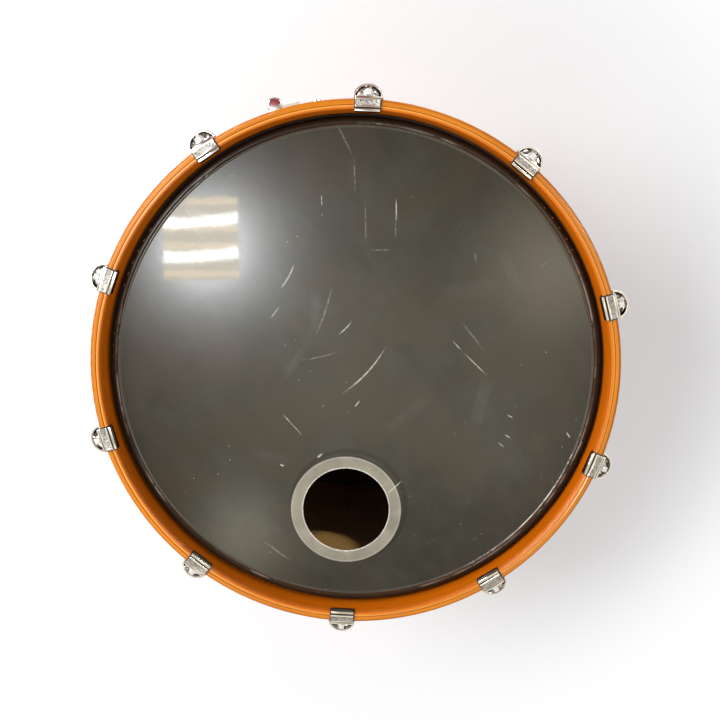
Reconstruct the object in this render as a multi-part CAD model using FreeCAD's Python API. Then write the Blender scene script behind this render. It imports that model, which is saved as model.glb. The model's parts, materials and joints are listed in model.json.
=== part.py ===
import FreeCAD, Part
import math
import os

# A 22 x 16 inch bass drum that lies face up: +Z is the drum's axis, the front (resonant) head is on top,
# and z = 0 is the plane of the rear claws' faces, on which the drum lies. +Y points to the tom bracket.
# Angles round the drum are clockwise from +Y, seen from the front. All lengths are in millimetres.
# Pieces at the two ends are drawn once in an "end frame" on +Y: y is the distance from the drum's axis,
# x runs clockwise and z = 0 is the hoop's outer face, with the drum below it.

V = FreeCAD.Vector
ORIGIN = V(0, 0, 0)
X, Y, Z = V(1, 0, 0), V(0, 1, 0), V(0, 0, 1)
WHOLE = 500.0

# Shell and hoops
SHELL_DEPTH = 406.4
SHELL_RADIUS = 279.4
SHELL_WALL = 7.2
EDGE_LAND = (276.0, 276.8)
EDGE_CUT = 3.8
EDGE_ROUND = 2.6
HOOP_INNER = 284.8
HOOP_OUTER = 296.0
HOOP_DEPTH = 38.0
HOOP_OUTER_ROUND = 3.0
HOOP_INNER_ROUND = 1.8
HOOP_CHAMFER = 0.8
LINE_RADIUS = 289.2
LINE_HALF_WIDTH = 0.6
LINE_DEPTH = 0.5

# Heads and flesh hoops
HEAD_RECESS = 25.0
FILM = 0.5
COLLAR_LEAN = 15.0
COLLAR_GAP = 0.3
FLESH_INNER = 281.2
FLESH_OUTER = 289.2
FLESH_DEPTH = 9.0
FLESH_WALL = 1.1
FLESH_MOUTH = 283.0
PORT_ANGLE = 198.7
PORT_DISTANCE = 167.0
PORT_RADIUS = 50.6
PORT_RING = 65.5
PORT_RING_HEIGHT = 0.8
PATCH_RADIUS = 31.0
PATCH_HEIGHT = 0.6

# Tension rods
LUGS = 10
LUG_STEP = 360.0 / LUGS
ROD_CIRCLE = 302.6
ROD_RADIUS = 3.0
ROD_CLEARANCE = 0.3
ROD_FIT = 0.05
ROD_TIP = 1.2
ROD_TIP_CUT = 0.8
ROD_END = -112.0
ROD_NECK = 1.5
ROD_SQUARE = 6.35
ROD_TOP = 0.5
ROD_CHAMFER = 0.6
COLLAR_HEIGHT = 1.8
COLLAR_RADIUS = 5.0
COLLAR_EDGE = 0.5
WASHER_HEIGHT = 1.2
WASHER_RADIUS = 5.3

# Claws
CLAW_WIDTH = 27.2
CLAW_PAD = 0.8
CLAW_PAD_END = -9.5
CLAW_PAD_EDGE = 0.7
CLAW_PLATE = 2.2
CLAW_CREST = 0.3
CLAW_HOOK = 1.8
CLAW_HOOK_END = -7.5
CLAW_HOOK_EDGE = 0.6
CLAW_LIP = 2.8
CLAW_LIP_FALL = 0.5
CLAW_GROOVE = 1.4
CLAW_GROOVE_DEPTH = 0.7
CLAW_PANEL = (287.6, 295.0)
CLAW_PANEL_EDGE = 1.8
CLAW_PANEL_DEPTH = 0.4
CLAW_SKIRT = 1.6
CLAW_SKIRT_GAP = 0.4
CLAW_SKIRT_END = -22.0
CLAW_RIDGE = 1.0
DISH_CENTRE = HOOP_OUTER + 2.0
DISH_RADIUS = 14.5
DISH_RIM = 1.7
DISH_TOP = -8.5
DISH_FLOOR = -14.5
DISH_BOTTOM = -25.0
SEAT = -12.0
SEAT_WALL = 0.5
RIB_HALF_WIDTH = 0.9
RIB_DROP = 1.5
CHEEK_REACH = 5.5
CHEEK_WALL = 1.7

# Lugs
GASKET = 1.0
GASKET_LIP = 0.8
LUG_TOP = -76.0
LUG_WAIST = -106.0
LUG_TAIL = -146.0
LUG_BEVEL = (1.2, 1.4, 2.0)
LUG_HALF_WIDTH = 9.8
LUG_CROWN = ROD_CIRCLE + 9.6
LUG_TAIL_HALF_WIDTH = 6.4
LUG_TAIL_HEIGHT = 8.0
LUG_FOOT = (12.4, 38.0)
LUG_FOOT_HEIGHT = 2.2
LUG_FOOT_CORNER = 7.0
NUT_TOP = -78.0
NUT_DEPTH = 14.0
NUT_SIDE = 9.0
NUT_GAP = 0.1
WELL_GAP = 0.8
WELL_FLOOR = ROD_END - 3.0
BOLT_LEVEL = -128.0
BOLT_RADIUS = 3.0
BOLT_GRIP = 8.0
BOLT_HEAD = 7.0
BOLT_HEAD_TAPER = 2.0
BOLT_HEAD_HEIGHT = 3.2

# Overall stack along the drum's axis
CLAW_RISE = CLAW_PAD + CLAW_PLATE
REAR_FACE = CLAW_RISE + CLAW_CREST
FRONT_FACE = REAR_FACE + 2 * (HEAD_RECESS + FILM) + SHELL_DEPTH

# Vent
VENT_ANGLE = 144.0
VENT_RADIUS = 7.0
VENT_WALL = 2.0
VENT_FLANGE = 4.0
VENT_FLANGE_HEIGHT = 1.3

# Screws through the shell
SCREW_RADIUS = 2.4
SCREW_HEAD = (4.6, 3.6, 2.6)
FOOT_HEIGHT = 4.0

# Tom bracket, in a frame on +Y whose z = 0 is the split of the clamp
TOM_LEVEL = FRONT_FACE - 140.0
TOM_FOOT = (33.0, 26.0)
TOM_FOOT_CORNER = 9.0
TOM_SCREWS = (27.0, 19.5)
POST_RADIUS = 12.9
POST_HOLE = POST_RADIUS + 1.6
CLAMP_RADIUS = 20.0
CLAMP_TOP = 309.0
CLAMP_CHAMFER = 1.5
CLAMP_BOSS = 2.5
CLAMP_LOW = 287.0
SPLIT = 0.6
POST_EAR = (-24.0, 305.5)
POST_EAR_RADIUS = 7.2
POST_EAR_DEPTH = 10.0
POST_EAR_SLOT = (3.6, 2.2)
PILLAR_TOP = 26.0
PILLAR_BORE = 3.06
BROW_X = (-12.0, 15.0)
BROW_Y = (302.0, 317.0)
BROW_Z = (15.0, 21.0, 26.5)
KNUCKLE_X = 34.0
KNUCKLE_RADIUS = 6.5
KNUCKLE_LEVELS = (284.0, 294.0, 306.3, 316.0)
KNUCKLE_GAP = 0.3
PIN_RADIUS = 2.5
PIN_HEAD = (4.0, 1.4)
WING_LEAN = 37.0

# Wing bolts: shank radius, hub radius, reach of the wings and radius of their tips
TOM_WING = (ROD_RADIUS, 6.5, 16.8, 9.2)
SPUR_WING = (ROD_RADIUS, 5.5, 12.0, 5.0)
WING_LIFT = 0.3
WING_HUB_HEIGHT = 11.0
WING_HUB_TAPER = 1.5
WING_ARM = 3.2
WING_LEVELS = (3.0, 8.0)
WING_ARM_INSET = 0.6

# Spurs, in a bench frame whose z axis is the pivot, with the folded leg along +y
SPUR_ANGLE = 108.0
SPUR_LEVEL = FRONT_FACE - 130.0
SPUR_FOOT = (33.0, 32.0)
SPUR_FOOT_CORNER = 10.0
SPUR_SCREWS = (27.0, 25.0)
SPUR_WEDGE = 24.0
SPUR_FACE = SHELL_RADIUS + 27.0
SPUR_DISC = 22.0
SPUR_TOWER = (3.0, 30.0)
PIVOT_RADIUS = 6.0
PIVOT_DEPTH = 18.0
PIVOT_HEAD = (10.0, 7.0, 4.0)
ARM_GAP = 0.3
ARM_HEIGHT = 12.0
ARM_NECK = (10.0, 30.0)
ARM_SOCKET = (3.0, 12.0, 50.0)
LEG_LEVEL = 11.0
TUBE_RADIUS = 9.5
TUBE_WALL = 1.7
TUBE_END = 4.0
TUBE_SPAN = (24.0, 196.0)
CLAMP_SPAN = (184.0, 212.0)
CLAMP_WALL = 3.5
CLAMP_BOSS_PLACE = 202.0
CLAMP_BOSS_SIZE = 7.0
LEG_ROD = 6.0
LEG_ROD_GAP = 0.08
LEG_ROD_SPAN = (64.0, 284.0)
LEG_POINT = 12.0
FOOT_SPAN = (262.0, 300.0)
FOOT_RADII = (10.5, 12.5, 8.5)
FOOT_DOME = 10.0


def outline(*steps):
    """A face in the radial plane. A step is a (y, z) point, or a pair of points that ends an arc."""
    corners = [step if isinstance(step[0], (int, float)) else step[1] for step in steps]
    edges = []
    for i, step in enumerate(steps):
        start = V(0, *corners[i - 1])
        end = V(0, *corners[i])
        if isinstance(step[0], (int, float)):
            edges.append(Part.LineSegment(start, end).toShape())
        else:
            edges.append(Part.Arc(start, V(0, *step[0]), end).toShape())
    return Part.Face(Part.Wire(edges))


def on_circle(centre, radius, degrees):
    """A point of a circle in the radial plane, counted from the outward direction towards +Z."""
    angle = math.radians(degrees)
    return (centre[0] + radius * math.cos(angle), centre[1] + radius * math.sin(angle))


def arc(centre, radius, start, end):
    """The step of an outline that follows a circle between two directions."""
    return (on_circle(centre, radius, (start + end) / 2), on_circle(centre, radius, end))


def ring(*steps):
    """The outline turned once round the drum's axis."""
    return outline(*steps).revolve(ORIGIN, Z, 360)


def sector(face, half_width):
    """The outline turned past both sides of +Y, then trimmed to parallel sides."""
    degrees = 2 * math.degrees(half_width / HOOP_INNER) + 2
    turned = face.copy()
    turned.rotate(ORIGIN, Z, -degrees / 2)
    trim = block((-half_width, half_width), (0, WHOLE), (-WHOLE, WHOLE))
    return turned.revolve(ORIGIN, Z, degrees).common(trim)


def block(x, y, z):
    """A box between pairs of coordinates."""
    return Part.makeBox(x[1] - x[0], y[1] - y[0], z[1] - z[0], V(x[0], y[0], z[0]))


def bar(radius, start, end):
    """A round bar between two points."""
    axis = end - start
    return Part.makeCylinder(radius, axis.Length, start, axis)


def radial_bar(radius, x, z, span=(0, WHOLE)):
    """A round bar along y between two distances from the axis."""
    return bar(radius, V(x, span[0], z), V(x, span[1], z))


def upright_bar(radius, x, y, span):
    """A round bar along z between two levels."""
    return bar(radius, V(x, y, span[0]), V(x, y, span[1]))


def joined(first, *others):
    """One solid out of overlapping ones, without the seams."""
    return first.fuse(list(others)).removeSplitter()


def around(shape, degrees):
    """A copy turned clockwise round the drum."""
    copy = shape.copy()
    copy.rotate(ORIGIN, Z, -degrees)
    return copy


def raised(shape, level):
    """A copy moved along the drum's axis."""
    return shape.translated(V(0, 0, level))


def at_front(shape):
    """A copy moved from the end frame to the drum's front end."""
    return raised(shape, FRONT_FACE)


def at_rear(shape):
    """A copy turned over from the end frame to the drum's rear end."""
    copy = shape.copy()
    copy.rotate(ORIGIN, Y, 180)
    return raised(copy, REAR_FACE)


def each_lug(shape):
    """Ten copies of one end's piece, at even places that leave +Y between two of them."""
    return [around(shape, LUG_STEP * (place + 0.5)) for place in range(LUGS)]


def shell_skin(inner, outer, half_size, corner, level=0):
    """A plate that follows the shell, with a rounded rectangular edge of x and z half sizes."""
    half_x, half_z = half_size
    plate = block((-half_x, half_x), (SHELL_RADIUS / 2, WHOLE), (-half_z, half_z))
    upright = [edge for edge in plate.Edges if abs(edge.tangentAt(edge.FirstParameter).y) > 0.9]
    plate = plate.makeFillet(corner, upright)
    tube = ring((inner, -half_z), (outer, -half_z), (outer, half_z), (inner, half_z))
    return raised(tube.common(plate), level)


def shell_screw(x, z, foot_top):
    """Pan-head screw through a foot and the shell, square to the shell at its place."""
    turn = math.degrees(math.asin(x / foot_top))
    low, high, height = SCREW_HEAD
    shank = radial_bar(SCREW_RADIUS, 0, z, (SHELL_RADIUS - SHELL_WALL - 4, foot_top + 1))
    pan = Part.makeCone(low, high, height, V(0, foot_top, z), Y)
    return around(joined(shank, pan), turn)


def corner_screws(place, level):
    """Four screws at the corners of a foot."""
    foot_top = SHELL_RADIUS + GASKET + FOOT_HEIGHT
    return [raised(shell_screw(side_x * place[0], side_z * place[1], foot_top), level)
            for side_x in (-1, 1) for side_z in (-1, 1)]


def save(name, *solids):
    """Write a node, as one solid or as a group of separate ones."""
    shape = solids[0] if len(solids) == 1 else Part.makeCompound(list(solids))
    shape.exportStep(os.path.join("parts", name + ".step"))


def hoop():
    """Bent ply hoop: rounded front edges, a line groove in its face and small rear chamfers."""
    inner_round = (HOOP_INNER + HOOP_INNER_ROUND, -HOOP_INNER_ROUND)
    outer_round = (HOOP_OUTER - HOOP_OUTER_ROUND, -HOOP_OUTER_ROUND)
    return ring(
        (HOOP_INNER + HOOP_CHAMFER, -HOOP_DEPTH),
        (HOOP_OUTER - HOOP_CHAMFER, -HOOP_DEPTH),
        (HOOP_OUTER, HOOP_CHAMFER - HOOP_DEPTH),
        (HOOP_OUTER, -HOOP_OUTER_ROUND),
        arc(outer_round, HOOP_OUTER_ROUND, 0, 90),
        (LINE_RADIUS + LINE_HALF_WIDTH, 0),
        (LINE_RADIUS, -LINE_DEPTH),
        (LINE_RADIUS - LINE_HALF_WIDTH, 0),
        (HOOP_INNER + HOOP_INNER_ROUND, 0),
        arc(inner_round, HOOP_INNER_ROUND, 90, 180),
        (HOOP_INNER, HOOP_CHAMFER - HOOP_DEPTH),
    )


def film_profile():
    """Half section of a head: flat film, collar over the bearing edge, bead locked in the flesh hoop."""
    top = -HEAD_RECESS
    inner = EDGE_ROUND + COLLAR_GAP
    outer = inner + FILM
    centre = (EDGE_LAND[1], top - outer)
    shoulder = on_circle(centre, outer, COLLAR_LEAN)
    lip = -HOOP_DEPTH
    skirt = shoulder[0] + (shoulder[1] - lip) * math.tan(math.radians(COLLAR_LEAN))
    mouth = lip - FLESH_WALL
    bead_floor = lip - FLESH_DEPTH + FLESH_WALL
    bead = (FLESH_INNER + FLESH_WALL, FLESH_OUTER - FLESH_WALL)
    return outline(
        (0, top - FILM),
        (0, top),
        (centre[0], top),
        arc(centre, outer, 90, COLLAR_LEAN),
        (skirt, lip),
        (skirt, mouth),
        (bead[1], mouth),
        (bead[1], bead_floor),
        (bead[0], bead_floor),
        (bead[0], mouth),
        (skirt - FILM, mouth),
        (skirt - FILM, lip),
        on_circle(centre, inner, COLLAR_LEAN),
        arc(centre, inner, COLLAR_LEAN, 90),
    )


def port_disc(radius, low, high):
    """A disc about the port's middle, between two heights over the film."""
    turn = math.radians(PORT_ANGLE)
    x, y = PORT_DISTANCE * math.sin(turn), PORT_DISTANCE * math.cos(turn)
    return upright_bar(radius, x, y, (low - HEAD_RECESS, high - HEAD_RECESS))


def batter_head():
    """A film with its collar and bead."""
    return film_profile().revolve(ORIGIN, Z, 360)


def ported_head():
    """The front head, cut for the port."""
    return batter_head().cut(port_disc(PORT_RADIUS, -2 * FILM, FILM))


def port_ring():
    """Flat reinforcement ring stuck on the film round the port."""
    return port_disc(PORT_RING, 0, PORT_RING_HEIGHT).cut(port_disc(PORT_RADIUS, 0, PORT_RING_HEIGHT))


def impact_patch():
    """Round pad at the rear head's middle, where the beater strikes."""
    return upright_bar(PATCH_RADIUS, 0, 0, (-HEAD_RECESS, PATCH_HEIGHT - HEAD_RECESS))


def flesh_hoop():
    """Aluminium channel, open at the top where the film's skirt comes out."""
    top = -HOOP_DEPTH
    floor = top - FLESH_DEPTH
    inside = (FLESH_INNER + FLESH_WALL, FLESH_OUTER - FLESH_WALL)
    return ring(
        (FLESH_INNER, top),
        (FLESH_INNER, floor),
        (FLESH_OUTER, floor),
        (FLESH_OUTER, top),
        (FLESH_MOUTH, top),
        (FLESH_MOUTH, top - FLESH_WALL),
        (inside[1], top - FLESH_WALL),
        (inside[1], floor + FLESH_WALL),
        (inside[0], floor + FLESH_WALL),
        (inside[0], top),
    )


def claw_profile():
    """Side section: hook inside the hoop, rolled lip, groove, plate, ridge and outer skirt."""
    top = CLAW_RISE
    crest = CLAW_RISE + CLAW_CREST
    wall = HOOP_INNER - CLAW_PAD
    hook = wall - CLAW_HOOK
    lip = hook + CLAW_LIP
    groove = lip + CLAW_GROOVE
    skirt = HOOP_OUTER + CLAW_SKIRT_GAP
    outside = skirt + CLAW_SKIRT
    return outline(
        (hook + CLAW_HOOK_EDGE, CLAW_HOOK_END),
        (wall, CLAW_HOOK_END),
        (wall, CLAW_PAD),
        (skirt, CLAW_PAD),
        (skirt, CLAW_SKIRT_END),
        (outside, CLAW_SKIRT_END),
        (outside, top - CLAW_SKIRT),
        ((outside - CLAW_LIP_FALL, top - CLAW_LIP_FALL), (skirt, crest)),
        (skirt - CLAW_RIDGE, top),
        (groove, top),
        ((lip + groove) / 2, top - CLAW_GROOVE_DEPTH),
        (lip, top - CLAW_LIP_FALL),
        (((hook + lip) / 2, crest), (hook, top - CLAW_GROOVE)),
        (hook, CLAW_HOOK_END + CLAW_HOOK_EDGE),
    )


def half_disc(radius, low, high):
    """The outer half of a disc whose middle is the claw's bend line."""
    return Part.makeCylinder(radius, high - low, V(0, DISH_CENTRE, low), Z, 180)


def claw_rib(side):
    """Rib from the rod's seat down to a corner of the dish."""
    half_width = CLAW_WIDTH / 2
    lean = math.degrees(math.atan2(ROD_CIRCLE - DISH_CENTRE, half_width))
    rib = block((WASHER_RADIUS, DISH_RADIUS), (-RIB_HALF_WIDTH, RIB_HALF_WIDTH), (DISH_FLOOR, DISH_TOP - RIB_DROP))
    rib.rotate(ORIGIN, Z, -lean)
    rib.translate(V(0, ROD_CIRCLE, 0))
    rib = rib.common(half_disc(DISH_RADIUS - 1, DISH_FLOOR, DISH_TOP))
    return rib if side > 0 else rib.mirror(ORIGIN, X)


def claw_cheek(side):
    """Gusset between the skirt and the dish's rim."""
    half_width = CLAW_WIDTH / 2
    low, high = DISH_CENTRE - 1, DISH_CENTRE + CHEEK_REACH
    cheek = outline((low, CLAW_RISE - CLAW_PLATE), (high, DISH_TOP), (low, DISH_TOP)).extrude(V(CHEEK_WALL, 0, 0))
    cheek.translate(V(half_width - CHEEK_WALL if side > 0 else -half_width, 0, 0))
    return cheek


def claw():
    """Cast claw: a plate that hooks over the hoop and a dished half-round ear with ribs and a rod seat."""
    half_width = CLAW_WIDTH / 2
    inset = half_width - CLAW_PANEL_EDGE
    panel = block((-inset, inset), CLAW_PANEL, (CLAW_RISE - CLAW_PANEL_DEPTH, CLAW_RISE + CLAW_PLATE))
    plate = sector(claw_profile(), half_width).cut(panel)
    dish = half_disc(DISH_RADIUS, DISH_BOTTOM, DISH_TOP).cut(half_disc(DISH_RADIUS - DISH_RIM, DISH_FLOOR, DISH_TOP))
    seat = upright_bar(WASHER_RADIUS + SEAT_WALL, 0, ROD_CIRCLE, (DISH_FLOOR, SEAT))
    ribs = [claw_rib(side) for side in (-1, 1)]
    cheeks = [claw_cheek(side) for side in (-1, 1)]
    solid = joined(plate, dish, seat, *ribs, *cheeks)
    pocket = upright_bar(WASHER_RADIUS + 0.2, 0, ROD_CIRCLE, (SEAT, CLAW_RISE))
    bore = upright_bar(ROD_RADIUS + ROD_CLEARANCE, 0, ROD_CIRCLE, (DISH_BOTTOM - 1, CLAW_RISE))
    hoop_side = upright_bar(HOOP_OUTER, 0, 0, (DISH_BOTTOM - 1, CLAW_PAD)).common(
        block((-half_width, half_width), (HOOP_INNER + CLAW_RIDGE, HOOP_OUTER + CLAW_RIDGE),
              (DISH_BOTTOM - 1, CLAW_PAD)))
    return solid.cut([pocket, bore, hoop_side])


def claw_pad():
    """Rubber pad between claw and hoop, folded down the hoop's inner wall."""
    wall = HOOP_INNER - CLAW_PAD
    edge = HOOP_OUTER - CLAW_SKIRT_GAP
    section = outline(
        (wall, CLAW_PAD_END),
        (HOOP_INNER, CLAW_PAD_END),
        (HOOP_INNER, 0),
        (edge, 0),
        (edge, CLAW_PAD),
        (wall, CLAW_PAD),
    )
    return sector(section, CLAW_WIDTH / 2 + CLAW_PAD_EDGE)


def washer():
    """Plain washer under a rod's collar."""
    span = (SEAT, SEAT + WASHER_HEIGHT)
    hole = upright_bar(ROD_RADIUS + ROD_CLEARANCE, 0, ROD_CIRCLE, span)
    return upright_bar(WASHER_RADIUS, 0, ROD_CIRCLE, span).cut(hole)


def rod():
    """Tension rod: square drive head, collar and plain shank."""
    collar_floor = SEAT + WASHER_HEIGHT
    collar_top = collar_floor + COLLAR_HEIGHT
    neck_top = collar_top + ROD_NECK
    half = ROD_SQUARE / 2
    turned = outline(
        (0, ROD_END),
        (ROD_RADIUS - ROD_TIP_CUT, ROD_END),
        (ROD_RADIUS, ROD_END + ROD_TIP),
        (ROD_RADIUS, collar_floor),
        (COLLAR_RADIUS, collar_floor),
        (COLLAR_RADIUS, collar_top - COLLAR_EDGE),
        (half, neck_top),
        (0, neck_top),
    ).revolve(ORIGIN, Z, 360)
    square = block((-half, half), (-half, half), (collar_top - COLLAR_EDGE, ROD_TOP))
    top_edges = [edge for edge in square.Edges if edge.BoundBox.ZMin > ROD_TOP - 0.1]
    return joined(turned, square.makeChamfer(ROD_CHAMFER, top_edges)).translated(V(0, ROD_CIRCLE, 0))


def lug_section(level, half_width, crown):
    """Arched section across a lug, from inside the shell's wall to the crown."""
    low = SHELL_RADIUS - SHELL_WALL / 2
    spring = crown - half_width
    left, right = V(-half_width, spring, level), V(half_width, spring, level)
    arch = Part.Arc(left, V(0, crown, level), right).toShape()
    base = Part.makePolygon([right, V(half_width, low, level), V(-half_width, low, level), left])
    return Part.Wire([arch] + base.Edges)


def lug():
    """Cast single lug: an arched housing round the swivel nut that tapers to a low tail, on a thin foot."""
    seat = SHELL_RADIUS + GASKET
    narrow, low, drop = LUG_BEVEL
    housing = Part.makeLoft([
        lug_section(LUG_TOP, LUG_HALF_WIDTH - narrow, LUG_CROWN - low),
        lug_section(LUG_TOP - drop, LUG_HALF_WIDTH, LUG_CROWN),
        lug_section(LUG_WAIST, LUG_HALF_WIDTH, LUG_CROWN),
        lug_section(LUG_TAIL, LUG_TAIL_HALF_WIDTH, seat + LUG_TAIL_HEIGHT),
    ], True, True)
    foot = shell_skin(seat, seat + LUG_FOOT_HEIGHT, LUG_FOOT, LUG_FOOT_CORNER, (LUG_TOP + LUG_TAIL) / 2)
    shell_side = upright_bar(seat, 0, 0, (-WHOLE, 0))
    side = NUT_SIDE / 2 + NUT_GAP
    pocket = block((-side, side), (ROD_CIRCLE - side, ROD_CIRCLE + side), (NUT_TOP - NUT_DEPTH, 0))
    well = upright_bar(ROD_RADIUS + WELL_GAP, 0, ROD_CIRCLE, (WELL_FLOOR, 0))
    tapped = radial_bar(BOLT_RADIUS, 0, BOLT_LEVEL, (0, seat + BOLT_GRIP + 1))
    return joined(housing, foot).cut([shell_side, pocket, well, tapped])


def lug_gasket():
    """Rubber sheet under a lug's foot, with the bolt's hole."""
    half_size = (LUG_FOOT[0] + GASKET_LIP, LUG_FOOT[1] + GASKET_LIP)
    middle = (LUG_TOP + LUG_TAIL) / 2
    sheet = shell_skin(SHELL_RADIUS, SHELL_RADIUS + GASKET, half_size, LUG_FOOT_CORNER + GASKET_LIP, middle)
    return sheet.cut(radial_bar(BOLT_RADIUS, 0, BOLT_LEVEL))


def swivel_nut():
    """Square nut that the rod screws into, loose in the lug's pocket."""
    half = NUT_SIDE / 2
    nut = block((-half, half), (ROD_CIRCLE - half, ROD_CIRCLE + half), (NUT_TOP - NUT_DEPTH, NUT_TOP))
    return nut.cut(upright_bar(ROD_RADIUS + ROD_FIT, 0, ROD_CIRCLE, (-WHOLE, 0)))


def lug_bolt():
    """Bolt from inside the shell, with a broad low head that bears on the wall."""
    wall = SHELL_RADIUS - SHELL_WALL
    seat = wall - BOLT_HEAD ** 2 / (2 * wall)
    shank = radial_bar(BOLT_RADIUS, 0, BOLT_LEVEL, (seat - 1, SHELL_RADIUS + GASKET + BOLT_GRIP))
    place = V(0, seat - BOLT_HEAD_HEIGHT, BOLT_LEVEL)
    cap = Part.makeCone(BOLT_HEAD - BOLT_HEAD_TAPER, BOLT_HEAD, BOLT_HEAD_HEIGHT, place, Y)
    return joined(shank, cap)


def shell():
    """Ply shell with a 45 degree inner cut and a rounded outer edge at both ends."""
    inner = SHELL_RADIUS - SHELL_WALL
    top = FRONT_FACE - HEAD_RECESS - FILM
    low = REAR_FACE + HEAD_RECESS + FILM
    body = ring(
        (inner, low + EDGE_CUT),
        (EDGE_LAND[0], low),
        (EDGE_LAND[1], low),
        arc((EDGE_LAND[1], low + EDGE_ROUND), EDGE_ROUND, -90, 0),
        (SHELL_RADIUS, top - EDGE_ROUND),
        arc((EDGE_LAND[1], top - EDGE_ROUND), EDGE_ROUND, 0, 90),
        (EDGE_LAND[0], top),
        (inner, top - EDGE_CUT),
    )
    bolt_hole = radial_bar(BOLT_RADIUS, 0, BOLT_LEVEL)
    vent_hole = around(radial_bar(VENT_RADIUS, 0, (FRONT_FACE + REAR_FACE) / 2), VENT_ANGLE)
    post_hole = radial_bar(POST_HOLE, 0, TOM_LEVEL)
    bolt_holes = each_lug(at_front(bolt_hole)) + each_lug(at_rear(bolt_hole))
    return body.cut(bolt_holes + [vent_hole, post_hole] + tom_screws() + spur_screws())


def vent_grommet():
    """Eyelet through the shell with a flange outside."""
    level = (FRONT_FACE + REAR_FACE) / 2
    wall = SHELL_RADIUS - SHELL_WALL
    seat = SHELL_RADIUS + GASKET / 4
    tube = radial_bar(VENT_RADIUS, 0, level, (wall - 1, seat + 1))
    flange = Part.makeCone(VENT_RADIUS + VENT_FLANGE, VENT_RADIUS + VENT_FLANGE / 2, VENT_FLANGE_HEIGHT,
                           V(0, seat, level), Y)
    return around(joined(tube, flange).cut(radial_bar(VENT_RADIUS - VENT_WALL, 0, level)), VENT_ANGLE)


def tom_screws():
    """Four screws at the bracket's corners."""
    return corner_screws(TOM_SCREWS, TOM_LEVEL)


def tom_gasket():
    """Rubber sheet under the tom bracket, open round the post."""
    half_size = (TOM_FOOT[0] + GASKET, TOM_FOOT[1] + GASKET)
    sheet = shell_skin(SHELL_RADIUS, SHELL_RADIUS + GASKET, half_size, TOM_FOOT_CORNER + GASKET, TOM_LEVEL)
    return sheet.cut([radial_bar(POST_HOLE, 0, TOM_LEVEL)] + tom_screws())


def half_collar(low, levels):
    """The part of the collar round the post that lies between two levels, chamfered at its mouth."""
    collar = radial_bar(CLAMP_RADIUS, 0, 0, (low, CLAMP_TOP))
    rim = [edge for edge in collar.Edges if edge.BoundBox.YMin > CLAMP_TOP - 0.1]
    return collar.makeChamfer(CLAMP_CHAMFER, rim).common(block((-WHOLE, WHOLE), (0, WHOLE), levels))


def hinge_barrel(span, arm_levels):
    """One barrel of the clamp's hinge with the arm that carries it."""
    arm = block((CLAMP_RADIUS, KNUCKLE_X), span, arm_levels)
    return [radial_bar(KNUCKLE_RADIUS, KNUCKLE_X, 0, span), arm]


def clamp_bridge(low, levels):
    """Web between the collar and the hinge."""
    return block((CLAMP_RADIUS / 2, KNUCKLE_X - KNUCKLE_RADIUS - SPLIT), (low, CLAMP_TOP - 2), levels)


def tom_base():
    """Foot on the shell with the fixed half of the collar, its slotted ear and two hinge barrels."""
    seat = SHELL_RADIUS + GASKET
    foot_top = seat + FOOT_HEIGHT + 1.5
    ear_x, ear_y = POST_EAR
    low, inner_low, inner_high, high = KNUCKLE_LEVELS
    foot = shell_skin(seat, seat + FOOT_HEIGHT, TOM_FOOT, TOM_FOOT_CORNER)
    boss = radial_bar(CLAMP_RADIUS + CLAMP_BOSS, 0, 0, (seat - 4, foot_top))
    half = half_collar(seat - 4, (-WHOLE, -SPLIT))
    ear = upright_bar(POST_EAR_RADIUS, ear_x, ear_y, (-POST_EAR_DEPTH, -SPLIT))
    web = block((ear_x, -CLAMP_RADIUS / 2), (ear_y - 6, CLAMP_TOP - 2), (-POST_EAR_DEPTH, -SPLIT))
    barrels = hinge_barrel((low, inner_low), (-KNUCKLE_RADIUS, -SPLIT))
    barrels += hinge_barrel((inner_high, high), (-KNUCKLE_RADIUS, -SPLIT))
    body = joined(foot, boss, half, ear, web, clamp_bridge(seat, (-POST_EAR_DEPTH, -SPLIT)), *barrels)
    shell_side = upright_bar(seat, 0, 0, (-WHOLE, WHOLE))
    swing = block((-WHOLE, KNUCKLE_X - KNUCKLE_RADIUS - SPLIT), (foot_top, WHOLE), (-SPLIT, SPLIT))
    slot_radius, slot_reach = POST_EAR_SLOT
    slot = [upright_bar(slot_radius, ear_x + side * slot_reach, ear_y, (-WHOLE, WHOLE)) for side in (-1, 1)]
    slot.append(block((ear_x - slot_reach, ear_x + slot_reach), (ear_y - slot_radius, ear_y + slot_radius),
                      (-WHOLE, WHOLE)))
    body = body.cut([shell_side, radial_bar(POST_RADIUS, 0, 0), radial_bar(PIN_RADIUS, KNUCKLE_X, 0), swing] + slot)
    return raised(body, TOM_LEVEL).cut(tom_screws())


def clamp_brow():
    """Sloping brace over the collar's mouth, clear of the post."""
    floor, right, left = BROW_Z
    corners = [V(BROW_X[0], 0, floor), V(BROW_X[1], 0, floor), V(BROW_X[1], 0, right), V(BROW_X[0], 0, left)]
    face = Part.Face(Part.makePolygon(corners + corners[:1]))
    return face.extrude(V(0, BROW_Y[1] - BROW_Y[0], 0)).translated(V(0, BROW_Y[0], 0))


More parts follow.
